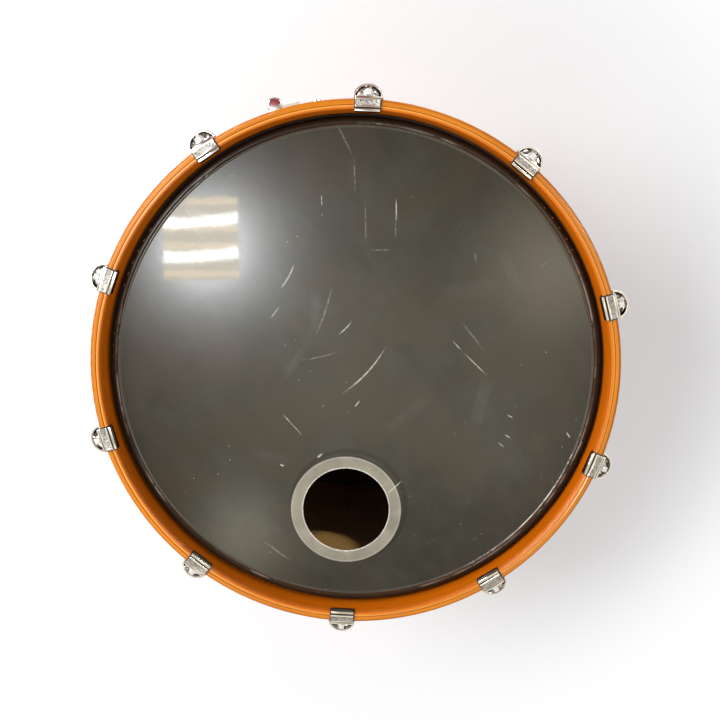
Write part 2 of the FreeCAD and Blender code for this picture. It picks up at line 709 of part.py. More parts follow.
def tom_clamp():
    """Hinged half of the collar, with a barrel between the base's two and a pillar for the wing bolt."""
    ear_x, ear_y = POST_EAR
    barrel = hinge_barrel((KNUCKLE_LEVELS[1] + KNUCKLE_GAP, KNUCKLE_LEVELS[2] - KNUCKLE_GAP), (SPLIT, KNUCKLE_RADIUS))
    half = half_collar(CLAMP_LOW, (SPLIT, WHOLE))
    pillar = upright_bar(POST_EAR_RADIUS, ear_x, ear_y, (SPLIT, PILLAR_TOP))
    web = block((ear_x, -CLAMP_RADIUS / 2), (ear_y - 6, CLAMP_TOP - 2), (SPLIT, POST_RADIUS))
    body = joined(half, pillar, web, clamp_bridge(CLAMP_LOW, (SPLIT, POST_EAR_DEPTH - 1)), clamp_brow(), *barrel)
    pin = radial_bar(PIN_RADIUS + ROD_FIT, KNUCKLE_X, 0)
    bore = upright_bar(PILLAR_BORE, ear_x, ear_y, (-WHOLE, WHOLE))
    return raised(body.cut([radial_bar(POST_RADIUS, 0, 0), pin, bore]), TOM_LEVEL)


def tom_hinge_pin():
    """Headed pin through the three barrels."""
    low, high = KNUCKLE_LEVELS[0], KNUCKLE_LEVELS[3]
    radius, height = PIN_HEAD
    shank = radial_bar(PIN_RADIUS, KNUCKLE_X, 0, (low + 1, high + 1))
    cap = radial_bar(radius, KNUCKLE_X, 0, (high, high + height))
    return raised(joined(shank, cap), TOM_LEVEL)


def wing_bolt(size, shank_length):
    """Wing bolt with its shank down from z = 0, a tapered hub and two rounded wings along x."""
    shank_radius, hub_radius, reach, tip = size
    low, high = WING_LEVELS
    shank = upright_bar(shank_radius, 0, 0, (-shank_length, 1))
    hub = Part.makeCone(hub_radius, hub_radius - WING_HUB_TAPER, WING_HUB_HEIGHT)
    arms = block((-reach, reach), (-WING_ARM, WING_ARM), (low + WING_ARM_INSET, high - WING_ARM_INSET))
    tips = [upright_bar(tip, side * reach, 0, WING_LEVELS) for side in (-1, 1)]
    return joined(shank, hub, arms, *tips)


def tom_wing_bolt():
    """Bolt that closes the clamp, one wing leaning over the collar."""
    bolt = wing_bolt(TOM_WING, PILLAR_TOP + POST_EAR_DEPTH - 2)
    bolt.rotate(ORIGIN, Z, 90 - WING_LEAN)
    return bolt.translated(V(POST_EAR[0], POST_EAR[1], PILLAR_TOP + WING_LIFT + TOM_LEVEL))


def on_side(shape, side):
    """Turn a piece on +Y to the right spur's place, or mirror it to the left one's."""
    piece = shape if side > 0 else shape.mirror(ORIGIN, X)
    return around(piece, side * SPUR_ANGLE)


def from_bench(shape, side):
    """Carry a spur's piece from its bench frame to the drum; side is 1 on the right and -1 on the left."""
    turn = math.radians(SPUR_WEDGE)
    place = FreeCAD.Matrix(
        math.cos(turn), 0, -math.sin(turn), 0,
        math.sin(turn), 0, math.cos(turn), SPUR_FACE,
        0, -1, 0, SPUR_LEVEL,
        0, 0, 0, 1,
    )
    placed = shape.copy()
    placed.Placement = FreeCAD.Placement(place).multiply(placed.Placement)
    return on_side(placed, side)


def leg_bar(radius, start, end):
    """A round bar along the folded leg, in the bench frame."""
    return bar(radius, V(0, start, LEG_LEVEL), V(0, end, LEG_LEVEL))


def spur_screws():
    """The screws of both spurs."""
    return [on_side(screw, side) for side in (1, -1) for screw in corner_screws(SPUR_SCREWS, SPUR_LEVEL)]


def spur_gasket(side):
    """Rubber sheet under a spur's foot."""
    half_size = (SPUR_FOOT[0] + GASKET, SPUR_FOOT[1] + GASKET)
    sheet = shell_skin(SHELL_RADIUS, SHELL_RADIUS + GASKET, half_size, SPUR_FOOT_CORNER + GASKET, SPUR_LEVEL)
    return on_side(sheet.cut(corner_screws(SPUR_SCREWS, SPUR_LEVEL)), side)


def spur_base(side):
    """Foot on the shell with a slanted round tower that carries the pivot."""
    seat = SHELL_RADIUS + GASKET
    turn = math.radians(SPUR_WEDGE)
    face = V(0, SPUR_FACE, SPUR_LEVEL)
    pivot = V(-math.sin(turn), math.cos(turn), 0)
    spread, height = SPUR_TOWER
    foot = shell_skin(seat, seat + FOOT_HEIGHT, SPUR_FOOT, SPUR_FOOT_CORNER, SPUR_LEVEL)
    tower = Part.makeCone(SPUR_DISC + spread, SPUR_DISC, height, face - pivot * height, pivot)
    shell_side = upright_bar(seat, 0, 0, (0, WHOLE))
    bore = bar(PIVOT_RADIUS, face - pivot * PIVOT_DEPTH, face + pivot)
    return on_side(joined(foot, tower).cut([shell_side, bore] + corner_screws(SPUR_SCREWS, SPUR_LEVEL)), side)


def spur_pivot(side):
    """Pivot bolt with a domed head over the arm."""
    low, high, height = PIVOT_HEAD
    shank = upright_bar(PIVOT_RADIUS, 0, 0, (-PIVOT_DEPTH, ARM_HEIGHT + 1))
    cap = Part.makeCone(low, high, height, V(0, 0, ARM_HEIGHT + ARM_GAP))
    return from_bench(joined(shank, cap), side)


def spur_arm(side):
    """Disc that turns on the pivot, with the socket that grips the leg tube."""
    wall, low, high = ARM_SOCKET
    neck_half, neck_end = ARM_NECK
    disc = upright_bar(SPUR_DISC - 1, 0, 0, (ARM_GAP, ARM_HEIGHT))
    neck = block((-neck_half, neck_half), (0, neck_end), (ARM_GAP, LEG_LEVEL + 4))
    body = joined(disc, leg_bar(TUBE_RADIUS + wall, low, high), neck)
    head_room = upright_bar(PIVOT_HEAD[0] + 1, 0, 0, (ARM_HEIGHT, WHOLE))
    bore = upright_bar(PIVOT_RADIUS + ROD_FIT, 0, 0, (-WHOLE, WHOLE))
    tube = leg_bar(TUBE_RADIUS, TUBE_SPAN[0], WHOLE)
    below = block((-WHOLE, WHOLE), (-WHOLE, WHOLE), (-WHOLE, ARM_GAP))
    return from_bench(body.cut([head_room, bore, tube, below]), side)


def spur_tube(side):
    """Leg tube, closed at the arm, with the cast clamp at its free end."""
    start, end = TUBE_SPAN
    clamp = leg_bar(TUBE_RADIUS + CLAMP_WALL, *CLAMP_SPAN)
    boss = upright_bar(CLAMP_BOSS_SIZE, 0, CLAMP_BOSS_PLACE, (0, TUBE_RADIUS + CLAMP_BOSS_SIZE))
    hollow = leg_bar(TUBE_RADIUS - TUBE_WALL, start + TUBE_END, end - 2)
    guide = leg_bar(LEG_ROD + LEG_ROD_GAP, start + TUBE_END, WHOLE)
    tapped = upright_bar(ROD_RADIUS + ROD_FIT, 0, CLAMP_BOSS_PLACE, (LEG_LEVEL, WHOLE))
    return from_bench(joined(leg_bar(TUBE_RADIUS, start, end), clamp, boss).cut([hollow, guide, tapped]), side)


def spur_rod(side):
    """Telescopic rod with a steel point inside the rubber foot."""
    start, end = LEG_ROD_SPAN
    shoulder = end - LEG_POINT
    point = Part.makeCone(LEG_ROD, 1, LEG_POINT, V(0, shoulder, LEG_LEVEL), Y)
    return from_bench(joined(leg_bar(LEG_ROD, start, shoulder), point), side)


def spur_foot(side):
    """Rubber foot that screws along the point."""
    start, end = FOOT_SPAN
    neck, belly, tip = FOOT_RADII
    widest = end - FOOT_DOME
    foot = Part.makeCone(neck, belly, widest - start, V(0, start, LEG_LEVEL), Y)
    dome = Part.makeCone(belly, tip, FOOT_DOME, V(0, widest, LEG_LEVEL), Y)
    bore = leg_bar(LEG_ROD + ROD_FIT, 0, LEG_ROD_SPAN[1] + 1)
    return from_bench(joined(foot, dome).cut(bore), side)


def spur_wing(side):
    """Wing bolt that locks the telescopic rod."""
    top = LEG_LEVEL + TUBE_RADIUS + CLAMP_BOSS_SIZE
    bolt = wing_bolt(SPUR_WING, top - LEG_LEVEL - LEG_ROD)
    bolt.rotate(ORIGIN, Z, 90)
    return from_bench(bolt.translated(V(0, CLAMP_BOSS_PLACE, top + WING_LIFT)), side)


def save_ends():
    """The nodes that both ends of the drum share."""
    for end, place in (("front", at_front), ("rear", at_rear)):
        save(end + "_hoop", place(hoop()))
        save(end + "_flesh_hoop", place(flesh_hoop()))
        save(end + "_claws", *each_lug(place(claw())))
        save(end + "_lugs", *each_lug(place(lug())))
        for number, one_rod in enumerate(each_lug(place(rod())), 1):
            save(f"{end}_rod_{number:02d}", one_rod)
    for name, piece in (("claw_pads", claw_pad()), ("washers", washer()), ("lug_gaskets", lug_gasket()),
                        ("swivel_nuts", swivel_nut()), ("lug_bolts", lug_bolt())):
        save(name, *each_lug(at_front(piece)), *each_lug(at_rear(piece)))


def save_tom_bracket():
    """The nodes of the clamp that takes the tom's post."""
    save("tom_base", tom_base())
    save("tom_gasket", tom_gasket())
    save("tom_screws", *tom_screws())
    save("tom_clamp", tom_clamp())
    save("tom_hinge_pin", tom_hinge_pin())
    save("tom_wing_bolt", tom_wing_bolt())


def save_spurs():
    """The nodes of the two spurs."""
    save("spur_gaskets", spur_gasket(1), spur_gasket(-1))
    save("spur_screws", *spur_screws())
    save("spur_pivots", spur_pivot(1), spur_pivot(-1))
    for word, side in (("right", 1), ("left", -1)):
        save(word + "_spur_base", spur_base(side))
        save(word + "_spur_arm", spur_arm(side))
        save(word + "_spur_tube", spur_tube(side))
        save(word + "_spur_rod", spur_rod(side))
        save(word + "_spur_foot", spur_foot(side))
        save(word + "_spur_wing", spur_wing(side))


def main():
    os.makedirs("parts", exist_ok=True)
    save("shell", shell())
    save("vent_grommet", vent_grommet())
    save("front_head", at_front(ported_head()))
    save("port_ring", at_front(port_ring()))
    save("rear_head", at_rear(batter_head()))
    save("impact_patch", at_rear(impact_patch()))
    save_ends()
    save_tom_bracket()
    save_spurs()


main()
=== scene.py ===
import json
import math

import bpy
from bpy.props import FloatProperty, FloatVectorProperty, PointerProperty
from mathutils import Matrix, Vector


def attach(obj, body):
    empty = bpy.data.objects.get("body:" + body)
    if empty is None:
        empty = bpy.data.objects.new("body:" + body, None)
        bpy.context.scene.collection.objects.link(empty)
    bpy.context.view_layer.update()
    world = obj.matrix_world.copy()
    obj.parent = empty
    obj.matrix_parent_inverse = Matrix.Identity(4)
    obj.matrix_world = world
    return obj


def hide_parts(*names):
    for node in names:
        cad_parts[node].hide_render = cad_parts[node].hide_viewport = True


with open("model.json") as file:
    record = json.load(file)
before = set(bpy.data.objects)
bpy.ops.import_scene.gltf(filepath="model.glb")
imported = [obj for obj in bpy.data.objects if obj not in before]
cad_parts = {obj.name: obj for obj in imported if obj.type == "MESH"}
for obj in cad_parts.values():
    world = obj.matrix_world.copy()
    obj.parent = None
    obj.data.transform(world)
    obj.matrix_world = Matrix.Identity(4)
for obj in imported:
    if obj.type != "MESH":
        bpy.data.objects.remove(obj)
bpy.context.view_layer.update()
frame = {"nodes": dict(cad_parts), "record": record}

bl_info = {
    "name": "Bass Drum Finishes",
    "version": (1, 0, 0),
    "blender": (4, 5, 0),
    "location": "View3D > Sidebar > Bass Drum",
    "description": "Lacquers, plates and lights a 22 by 16 inch bass drum",
    "category": "Object",
}

JOINTS = {joint["name"]: joint for joint in frame["record"]["behaviour"]["joints"]}

# Main sizes of the drum, in metres. Z is the drum's axis and the front head is on top.
FRONT_FACE = 0.4607
REAR_FACE = 0.0033
HEAD_LEVEL = FRONT_FACE - 0.025
SHELL_RADIUS = 0.2794
PORT_CENTRE = (-0.05354, -0.15818, HEAD_LEVEL)
PORT_RADIUS = 0.0506
PORT_RING = 0.0655

# Rings of a drum's end, by their distance from the axis: the film's fold, the line of painted highlight
# next to it and its collar of painted shade, the mouth of the flesh hoop, then the hoop's inner edge
# (painted shade), bead (painted highlight), reeds and the seam in the middle reed
FILM_FOLD = 0.2716
FILM_SHEEN = 0.2738
FILM_COLLAR = (0.2728, 0.2762)
CHANNEL_MOUTH = (0.2848, 0.2858)
HOOP_EDGE = (0.2866, 0.2876)
HOOP_BEAD = 0.2881
HOOP_REEDS = (0.2852, 0.2892, 0.2942, 0.2968)
HOOP_SEAM = 0.2911

# Claw and rod, in the end frame: z = 0 is the hoop's face and y the distance from the axis. The drops are
# how far the hook and the skirt reach down, and the sinks how deep the groove and the panel lie.
CLAW_HALF_WIDTH = 0.0132
CLAW_TOP = 0.0030
CLAW_PAD = 0.0008
CLAW_HOOK = (0.2822, 0.2840)
CLAW_LIP = 0.2849
CLAW_GROOVE = 0.2866
CLAW_PANEL = (0.2876, 0.2950)
CLAW_SKIRT = (0.2964, 0.2980)
CLAW_DROPS = (0.0083, 0.0228)
CLAW_SINKS = (0.0009, 0.0004)
CLAW_EAR = 0.0142
CLAW_SPREAD = 1.14
EAR_LEVELS = (-0.0250, -0.0145, -0.0085)
EAR_STEPS = ((0.88, 0.0), (0.95, 0.0035), (0.90, 0.0018), (0.78, 0.0007))
LUGS = 10
ROD_CIRCLE = 0.3026
ROD_SEAT = -0.0120
ROD_WASHER = 0.0012
ROD_SHANK = 0.0030
ROD_NECK = 0.0040
ROD_COLLAR = (0.0050, 0.0018)
ROD_SQUARE = 0.003175
ROD_END = -0.1120
THREAD_PITCH = 0.00106

# Wing bolts: hub radius, reach and radius of the lobes, height of the hub's foot over the joint, shank
TOM_WING = (0.0065, 0.0168, 0.0092, 0.0003, 0.0340)
SPUR_WING = (0.0055, 0.0120, 0.0050, 0.0168, 0.0105)

# Levels over the hub's foot: the hub's top, then the lower and upper faces of the lobes and of the arms
WING_HUB = 0.0110
WING_LOBE = (0.0030, 0.0080)
WING_ARM = (0.0036, 0.0074)
WING_ARM_HALF = 0.0032
WING_SHANK = 0.0030
TOM_WING_BEARING = 53

# The stage: where the lamps stand, and the room that only reflections see
LENS = 40.0
KEY_PLACE = (-1.29, 1.10, 2.0)
FILL_PLACE = (-0.50, -2.0, 1.3)
SPOT_PLACE = (0.859, 1.449, 2.6)
SPOT_ANGLE = 0.0262
FLOOR_FADE = (0.52, 0.82)
ROOM_RADIUS = 2.6
ROOM_HEIGHT = 2.7
WALL_MIDDLE = 1.36
CEILING_WIDTH = 5.6
PANEL_SIZE = (0.223, 0.245)
PANEL_PLACE = (-0.447, 0.248, 1.936)
GLOW_SIZE = (1.7, 1.7)
GLOW_PLACE = (-0.457, 0.229, 2.02)
PANEL_TURN = -0.2632

# Marks on the front head: start, end, height of the bow and width
HEAD_SCRATCHES = (
    ((-0.033, 0.136), (-0.059, 0.110), 0.0020, 0.0013),
    ((-0.063, 0.093), (-0.077, 0.082), 0.0, 0.0009),
    ((0.013, 0.057), (-0.010, 0.044), 0.0016, 0.0009),
    ((0.044, 0.020), (-0.026, -0.024), 0.0055, 0.0012),
    ((0.116, 0.005), (0.124, -0.010), 0.0, 0.0008),
    ((0.124, -0.010), (0.146, -0.047), 0.0, 0.0009),
    ((0.020, -0.140), (0.000, -0.152), 0.0, 0.0010),
    ((0.095, 0.176), (0.088, 0.148), 0.0, 0.0009),
    ((-0.095, -0.026), (-0.078, -0.060), 0.0, 0.0008),
    ((-0.003, -0.035), (-0.012, -0.042), 0.0, 0.0010),
    ((0.016, 0.200), (0.013, 0.187), 0.0, 0.0008),
    ((0.156, -0.095), (0.162, -0.101), 0.0, 0.0010),
    ((0.148, -0.117), (0.154, -0.124), 0.0, 0.0010),
    ((0.138, -0.124), (0.144, -0.132), 0.0, 0.0010),
    ((-0.070, -0.089), (-0.061, -0.085), 0.0, 0.0015),
    ((0.217, -0.132), (0.220, -0.141), 0.0, 0.0012),
    ((-0.114, -0.085), (-0.109, -0.089), 0.0, 0.0014),
)
HEAD_HAIRLINES = (
    ((0.052, 0.270), (0.061, 0.228), 0.0, 0.0012),
    ((0.062, 0.232), (0.052, 0.190), 0.0, 0.0012),
    ((0.062, 0.184), (0.048, 0.130), 0.0, 0.0011),
    ((0.050, 0.128), (0.077, 0.121), 0.0, 0.0010),
    ((0.090, 0.160), (0.082, 0.128), 0.0, 0.0010),
    ((-0.010, 0.026), (-0.064, 0.029), 0.0020, 0.0010),
    ((0.130, 0.026), (0.150, -0.020), 0.0, 0.0013),
    ((0.002, 0.102), (-0.036, 0.046), 0.0020, 0.0016),
    ((0.164, 0.096), (0.163, 0.080), 0.0, 0.0010),
    ((-0.160, -0.170), (-0.132, -0.206), 0.0, 0.0014),
)
HEAD_SMEARS = (
    ((0.060, 0.235), (0.046, 0.190), 0.0, 0.0060),
    ((0.070, 0.215), (0.060, 0.160), 0.0, 0.0110),
    ((-0.018, 0.110), (-0.046, 0.040), 0.0060, 0.0080),
    ((-0.036, 0.050), (-0.085, 0.010), 0.0, 0.0070),
    ((0.110, 0.060), (0.190, 0.050), 0.0, 0.0140),
    ((0.190, 0.100), (0.205, 0.030), 0.0, 0.0090),
    ((0.150, -0.040), (0.110, -0.110), 0.0, 0.0110),
    ((-0.150, -0.060), (-0.090, -0.090), 0.0, 0.0100),
    ((0.010, -0.080), (0.080, -0.050), 0.0, 0.0090),
)


# Shader tools

class Value:
    """One output in a node tree. An expression on values adds the Math nodes that it needs."""

    def __init__(self, tree, output):
        self.tree = tree
        self.output = output

    def math(self, operation, *others):
        return add_node(self.tree, "Math", {"operation": operation}, dict(enumerate((self,) + others)))

    def __add__(self, other):
        return self.math("ADD", other)

    def __sub__(self, other):
        return self.math("SUBTRACT", other)

    def __rsub__(self, other):
        return add_node(self.tree, "Math", {"operation": "SUBTRACT"}, {0: other, 1: self})

    def __mul__(self, other):
        return self.math("MULTIPLY", other)

    def __truediv__(self, other):
        return self.math("DIVIDE", other)

    def __pow__(self, other):
        return self.math("POWER", other)

    __radd__ = __add__
    __rmul__ = __mul__

    def rise(self, low, high):
        """0 below low, 1 above high and smooth between them; low may be the larger one."""
        return add_node(self.tree, "MapRange", {"interpolation_type": "SMOOTHSTEP"},
                        {"Value": self, "From Min": low, "From Max": high})


def add_node(tree, kind, settings, inputs, output=0):
    """Add a node, then its settings, then the values or links of its sockets; gives one output."""
    node = tree.nodes.new("ShaderNode" + kind)
    for name, setting in settings.items():
        setattr(node, name, setting)
    for name, value in inputs.items():
        socket = node.inputs[name]
        if isinstance(value, Value):
            tree.links.new(value.output, socket)
        elif socket.type == "RGBA" and len(value) == 3:
            socket.default_value = (*value, 1.0)
        else:
            socket.default_value = value
    return Value(tree, node.outputs[output]) if node.outputs else None


def mix(factor, first, second):
    """Colour mix; the factor is a value."""
    return add_node(factor.tree, "Mix", {"data_type": "RGBA"},
                    {0: factor, 6: first, 7: second}, output=2)


def dimmed(colour, share):
    return [part * share for part in colour]


def place_of(tree):
    """Object coordinates, as a vector and as x, y and z values."""
    point = add_node(tree, "TexCoord", {}, {}, output=3)
    split = add_node(tree, "SeparateXYZ", {}, {"Vector": point})
    node = split.output.node
    return point, [Value(tree, output) for output in node.outputs]


def vector(x, y, z):
    tree = next(part.tree for part in (x, y, z) if isinstance(part, Value))
    return add_node(tree, "CombineXYZ", {}, {0: x, 1: y, 2: z})


def noise(point, scale, detail=3.0, roughness=0.55, distortion=0.0):
    return add_node(point.tree, "TexNoise", {}, {
        "Vector": point, "Scale": scale, "Detail": detail,
        "Roughness": roughness, "Distortion": distortion})


def cells(point, scale):
    return add_node(point.tree, "TexVoronoi", {}, {"Vector": point, "Scale": scale})


def distance(x, y, centre=None):
    """How far a place is from the drum's axis, or from another upright line."""
    if centre:
        x, y = x - centre[0], y - centre[1]
    return (x * x + y * y) ** 0.5


def depth_of(z):
    """How far in a place is from the nearer hoop's face."""
    return 0.5 * (FRONT_FACE - REAR_FACE) - (z - 0.5 * (FRONT_FACE + REAR_FACE)).math("ABSOLUTE")


def facing_up(tree):
    """1 where the surface faces along the drum's axis, either way, and 0 on its walls."""
    normal = add_node(tree, "NewGeometry", {}, {}, output=1)
    split = add_node(tree, "SeparateXYZ", {}, {"Vector": normal}, output=2)
    return split.math("ABSOLUTE")


def new_material(name):
    material = bpy.data.materials.new(name)
    material.use_nodes = True
    material.node_tree.nodes.clear()
    return material, material.node_tree


def emit(tree, colour, strength):
    return add_node(tree, "Emission", {}, {"Color": colour, "Strength": strength})


def blend(tree, factor, first, second):
    """One shader where the factor is 0 and another where it is 1."""
    return add_node(tree, "MixShader", {}, {0: factor, 1: first, 2: second})


def close(tree, shader):
    add_node(tree, "OutputMaterial", {}, {"Surface": shader})


def surface(tree, inputs, height, strength, depth):
    """Close a material with a principled shader and a bump."""
    inputs["Normal"] = add_node(tree, "Bump", {}, {
        "Height": height, "Strength": strength, "Distance": depth})
    close(tree, add_node(tree, "BsdfPrincipled", {}, inputs))


# Finishes

def amber_lacquer(face, wall):
    """Gloss amber lacquer over bent plies: reeds on the face, dark lines between them, redder walls, a
    painted highlight along the bead and painted shade on the face's inner edge.
    """
    material, tree = new_material("amber_lacquer")
    point, (x, y, z) = place_of(tree)
    radius = distance(x, y)
    up = facing_up(tree).rise(0.35, 0.8)
    fibre = noise(vector(x * 7, y * 7, z * 260 + radius * 420), 1.0, 4.0, 0.6)
    cloud = noise(point, 5.0, 2.0)
    first, second, third, last = HOOP_REEDS

    def line(middle, half_width):
        return (radius - middle).math("ABSOLUTE").rise(half_width, half_width * 0.4)

    def reed(low, high):
        """The height of a rounded reed between two distances from the axis."""
        off = (radius - (low + high) / 2) * (2 / (high - low))
        return (1 - off * off).math("MAXIMUM", 0.0)

    lip = z.rise(FRONT_FACE - 0.0090, FRONT_FACE - 0.0005) * (1 - up) * (1 - radius.rise(0.2875, 0.2885))
    glue = (line(third, 0.0005) + line(second, 0.0005) + line(HOOP_SEAM, 0.0004) * 0.35) * up
    reeds = (reed(second, third) + reed(first, second) * 0.7 + reed(third, last) * 0.5) * up
    tint = mix(up, wall, face)
    grain = mix(0.8 - fibre.rise(0.3, 0.72) * 0.5 - cloud * 0.3, tint, dimmed(wall, 0.6))
    # Painted highlight: a pale line along the bead, where the rounded lacquer would catch the light
    bead_highlight_edge_shade = mix(line(HOOP_BEAD, 0.0009) * up * 0.7, grain, (0.95, 0.50, 0.12))
    # Painted shade: the face's inner edge takes the walls' darker tone, as if it were turned from the
    # light
    bead_highlight_edge_shade = mix((1 - radius.rise(*HOOP_EDGE)) * up * 0.75, bead_highlight_edge_shade, wall)
    shade = mix(glue * 0.6, bead_highlight_edge_shade, dimmed(wall, 0.45))
    surface(tree, {"Base Color": shade, "Roughness": 0.30 + fibre * 0.08, "Specular IOR Level": 0.12,
                   "Coat Weight": up * 0.55 + lip.rise(0.1, 0.3) * 0.6, "Coat Roughness": 0.05},
            reeds + fibre * 0.03 - lip * lip * 7.5, 1.0, 0.0008)
    return material


def maple_shell(outside, outside_dark, inside):
    """Amber gloss outside and plain satin maple inside, split by the distance from the axis."""
    material, tree = new_material("maple_shell")
    _, (x, y, z) = place_of(tree)
    radius = distance(x, y)
    fibre = noise(vector(x * 9, y * 9, z * 210), 1.0, 4.0, 0.62)
    figure = noise(vector(x * 34, y * 34, z * 5), 1.0, 2.0, 0.5, 0.4)
    pores = noise(vector(x * 60, y * 60, z * 1400), 1.0, 2.0)
    skin = radius.rise(SHELL_RADIUS - 0.0016, SHELL_RADIUS - 0.0008)
    grain = fibre.rise(0.25, 0.75) * 0.55 + figure * 0.45
    lacquered = mix(grain, outside_dark, outside)
    plain = mix(grain, dimmed(inside, 0.72), inside)
    shade = mix(skin, plain, lacquered)
    dotted = mix(pores.rise(0.66, 0.8) * 0.35, shade, dimmed(outside_dark, 0.5))
    surface(tree, {"Base Color": dotted, "Roughness": 0.55 - skin * 0.27 + fibre * 0.06,
                   "Coat Weight": skin * 0.5, "Coat Roughness": 0.06, "Specular IOR Level": 0.15},
            fibre + pores * 0.4, 0.08, 0.0003)
    return material


def scratch(x, y, start, end, bow, width):
    """A hair-thin mark between two points of the head, bowed to its left in the middle."""
    along = Vector((end[0] - start[0], end[1] - start[1]))
    length = along.length
    along.normalize()
    run = ((x - start[0]) * along.x + (y - start[1]) * along.y) * (1 / length)
    side = (y - start[1]) * along.x - (x - start[0]) * along.y
    if bow:
        side = side - (run - run * run) * (4 * bow)
    line = 1 - side.math("ABSOLUTE").rise(width * 0.25, width)
    return line * run.rise(0.0, 0.35) * (1 - run.rise(0.6, 1.0))


def black_film(colour, haze):
    """Smoky black film with a cloudy haze, soft scuffs, specks and long scratches, a painted highlight
    along its fold, a painted shadow beside the port ring, and a collar of painted shade.
    """
    material, tree = new_material("black_film")
    point, (x, y, z) = place_of(tree)
    radius = distance(x, y)
    cloud = noise(point, 9.0, 4.0, 0.62)
    warm = noise(vector(x, y, z + 5), 13.0, 3.0, 0.6)
    smear = noise(vector(x * 30 + y * 14, y * 9 - x * 5, z), 1.0, 5.0, 0.65, 0.6)
    patch = noise(vector(x, y, z + 3), 15.0, 3.0, 0.6).rise(0.52, 0.7)
    hair = noise(vector(x * 26 + y * 60, y * 150 - x * 90, z + 1), 1.0, 3.0, 0.6, 0.3)
    specks = 1 - cells(point, 85.0).rise(0.03, 0.085)
    dust = specks * noise(vector(x, y, z + 7), 9.0, 2.0).rise(0.52, 0.62)
    broken = noise(point, 190.0, 3.0, 0.7).rise(0.30, 0.62)

    def marks(table):
        return sum(scratch(x, y, *mark) for mark in table)

    bright = marks(HEAD_SCRATCHES).math("MINIMUM", 1.0) * (0.35 + broken * 0.65)
    faint = marks(HEAD_HAIRLINES).math("MINIMUM", 1.0) * broken
    soft = marks(HEAD_SMEARS) * (0.3 + smear.rise(0.35, 0.7) * 0.7)
    rim_patches = noise(vector(x * 8, y * 8, z), 1.0, 2.0).rise(0.50, 0.62)
    rim_patches = rim_patches * noise(point, 60.0, 3.0).rise(0.35, 0.55)
    # Painted highlight: a broken pale line along the film's fold, mixed in with the real scuffs and dust
    rim = (1 - (radius - FILM_SHEEN).math("ABSOLUTE").rise(0.0003, 0.0014)) * rim_patches
    # Painted shadow: a dark ring set a little off the port ring
    off_ring = distance(x, y, (PORT_CENTRE[0] + 0.004, PORT_CENTRE[1] + 0.0035)) - PORT_RING
    ring_shadow = (off_ring - 0.0015).math("ABSOLUTE").rise(0.004, 0.001)
    scuffs = bright * 0.8 + faint * 0.22 + hair.rise(0.66, 0.78) * patch * 0.10
    wear_and_sheen = (scuffs + dust * 0.4 + rim * 0.6).math("MINIMUM", 1.0)
    tone = mix(cloud.rise(0.35, 0.7) * 0.6 + smear.rise(0.45, 0.75) * 0.3, colour, haze)
    tone = mix(warm.rise(0.40, 0.62) * 0.8, tone, (0.042, 0.029, 0.018))
    tone = mix(soft.math("MINIMUM", 1.0) * 0.4, tone, (0.082, 0.086, 0.084))
    tone = mix(ring_shadow * 0.7, tone, (0.008, 0.007, 0.005))
    grain = add_node(tree, "Bump", {}, {
        "Height": cloud * 0.9 + smear * 0.1, "Strength": 0.05, "Distance": 0.002})
    fold = ((radius - FILM_FOLD) * 400.0).math("ABSOLUTE").math("MINIMUM", 1.0)
    ridge = (1 - fold * fold) ** 2.0 * (0.7 + rim_patches * 0.3)
    bent = add_node(tree, "Bump", {}, {
        "Height": ridge, "Strength": 1.0, "Distance": 0.0011, "Normal": grain})
    film = add_node(tree, "BsdfPrincipled", {}, {
        "Base Color": mix(wear_and_sheen, tone, (0.74, 0.71, 0.62)),
        "Roughness": 0.05 + smear.rise(0.5, 0.8) * 0.06 + wear_and_sheen * 0.3,
        "IOR": 1.46, "Coat Weight": 1.0, "Coat Roughness": 0.03,
        "Normal": bent, "Coat Normal": bent})
    # Painted shade: the collar is matte dark brown, standing for the shaded gap under the hoop, warmed as
    # if by light off the hoop
    collar = add_node(tree, "BsdfPrincipled", {}, {
        "Base Color": (0.022, 0.011, 0.004), "Roughness": 0.6, "Specular IOR Level": 0.1})
    close(tree, blend(tree, radius.rise(*FILM_COLLAR) * 0.92, film, collar))
    return material


def plain_film(name, colour, dark, roughness):
    """Film with a slow cloud of tone and faint handling marks."""
    material, tree = new_material(name)
    point, _ = place_of(tree)
    cloud = noise(point, 11.0, 4.0, 0.6)
    speck = noise(point, 420.0, 2.0)
    surface(tree, {"Base Color": mix(cloud.rise(0.3, 0.7), dark, colour),
                   "Roughness": roughness + cloud * 0.12, "IOR": 1.6},
            speck + cloud, 0.05, 0.0003)
    return material


def frosted_ring(colour, edge):
    """Frosted film ring with bright cut edges, a dark line of glue outside them and one scratch."""
    material, tree = new_material("frosted_ring")
    point, (x, y, _) = place_of(tree)
    reach = distance(x, y, PORT_CENTRE)
    cloud = noise(point, 34.0, 3.0, 0.7)
    nicks = noise(point, 420.0, 3.0, 0.7).rise(0.35, 0.6)
    inner = (1 - (reach - PORT_RADIUS).rise(0.0006, 0.0017)) * (nicks * 0.7 + 0.3)
    outer = (reach - PORT_RING).rise(-0.0030, -0.0018)
    glue = (reach - PORT_RING).rise(-0.0012, -0.0006)
    mark = scratch(x, y, (-0.004, -0.153), (0.022, -0.139), 0.0, 0.0009)
    tone = mix(cloud.rise(0.3, 0.7), dimmed(colour, 0.70), colour)
    tone = mix(glue * 0.85, tone, (0.030, 0.027, 0.020))
    rim = (inner + outer * (1 - glue) * 0.22 + mark * 0.7).math("MINIMUM", 1.0)
    surface(tree, {"Base Color": mix(rim * 0.8, tone, edge),
                   "Roughness": 0.34 + cloud * 0.2, "IOR": 1.5},
            noise(point, 300.0, 2.0) + cloud, 0.08, 0.0003)
    return material


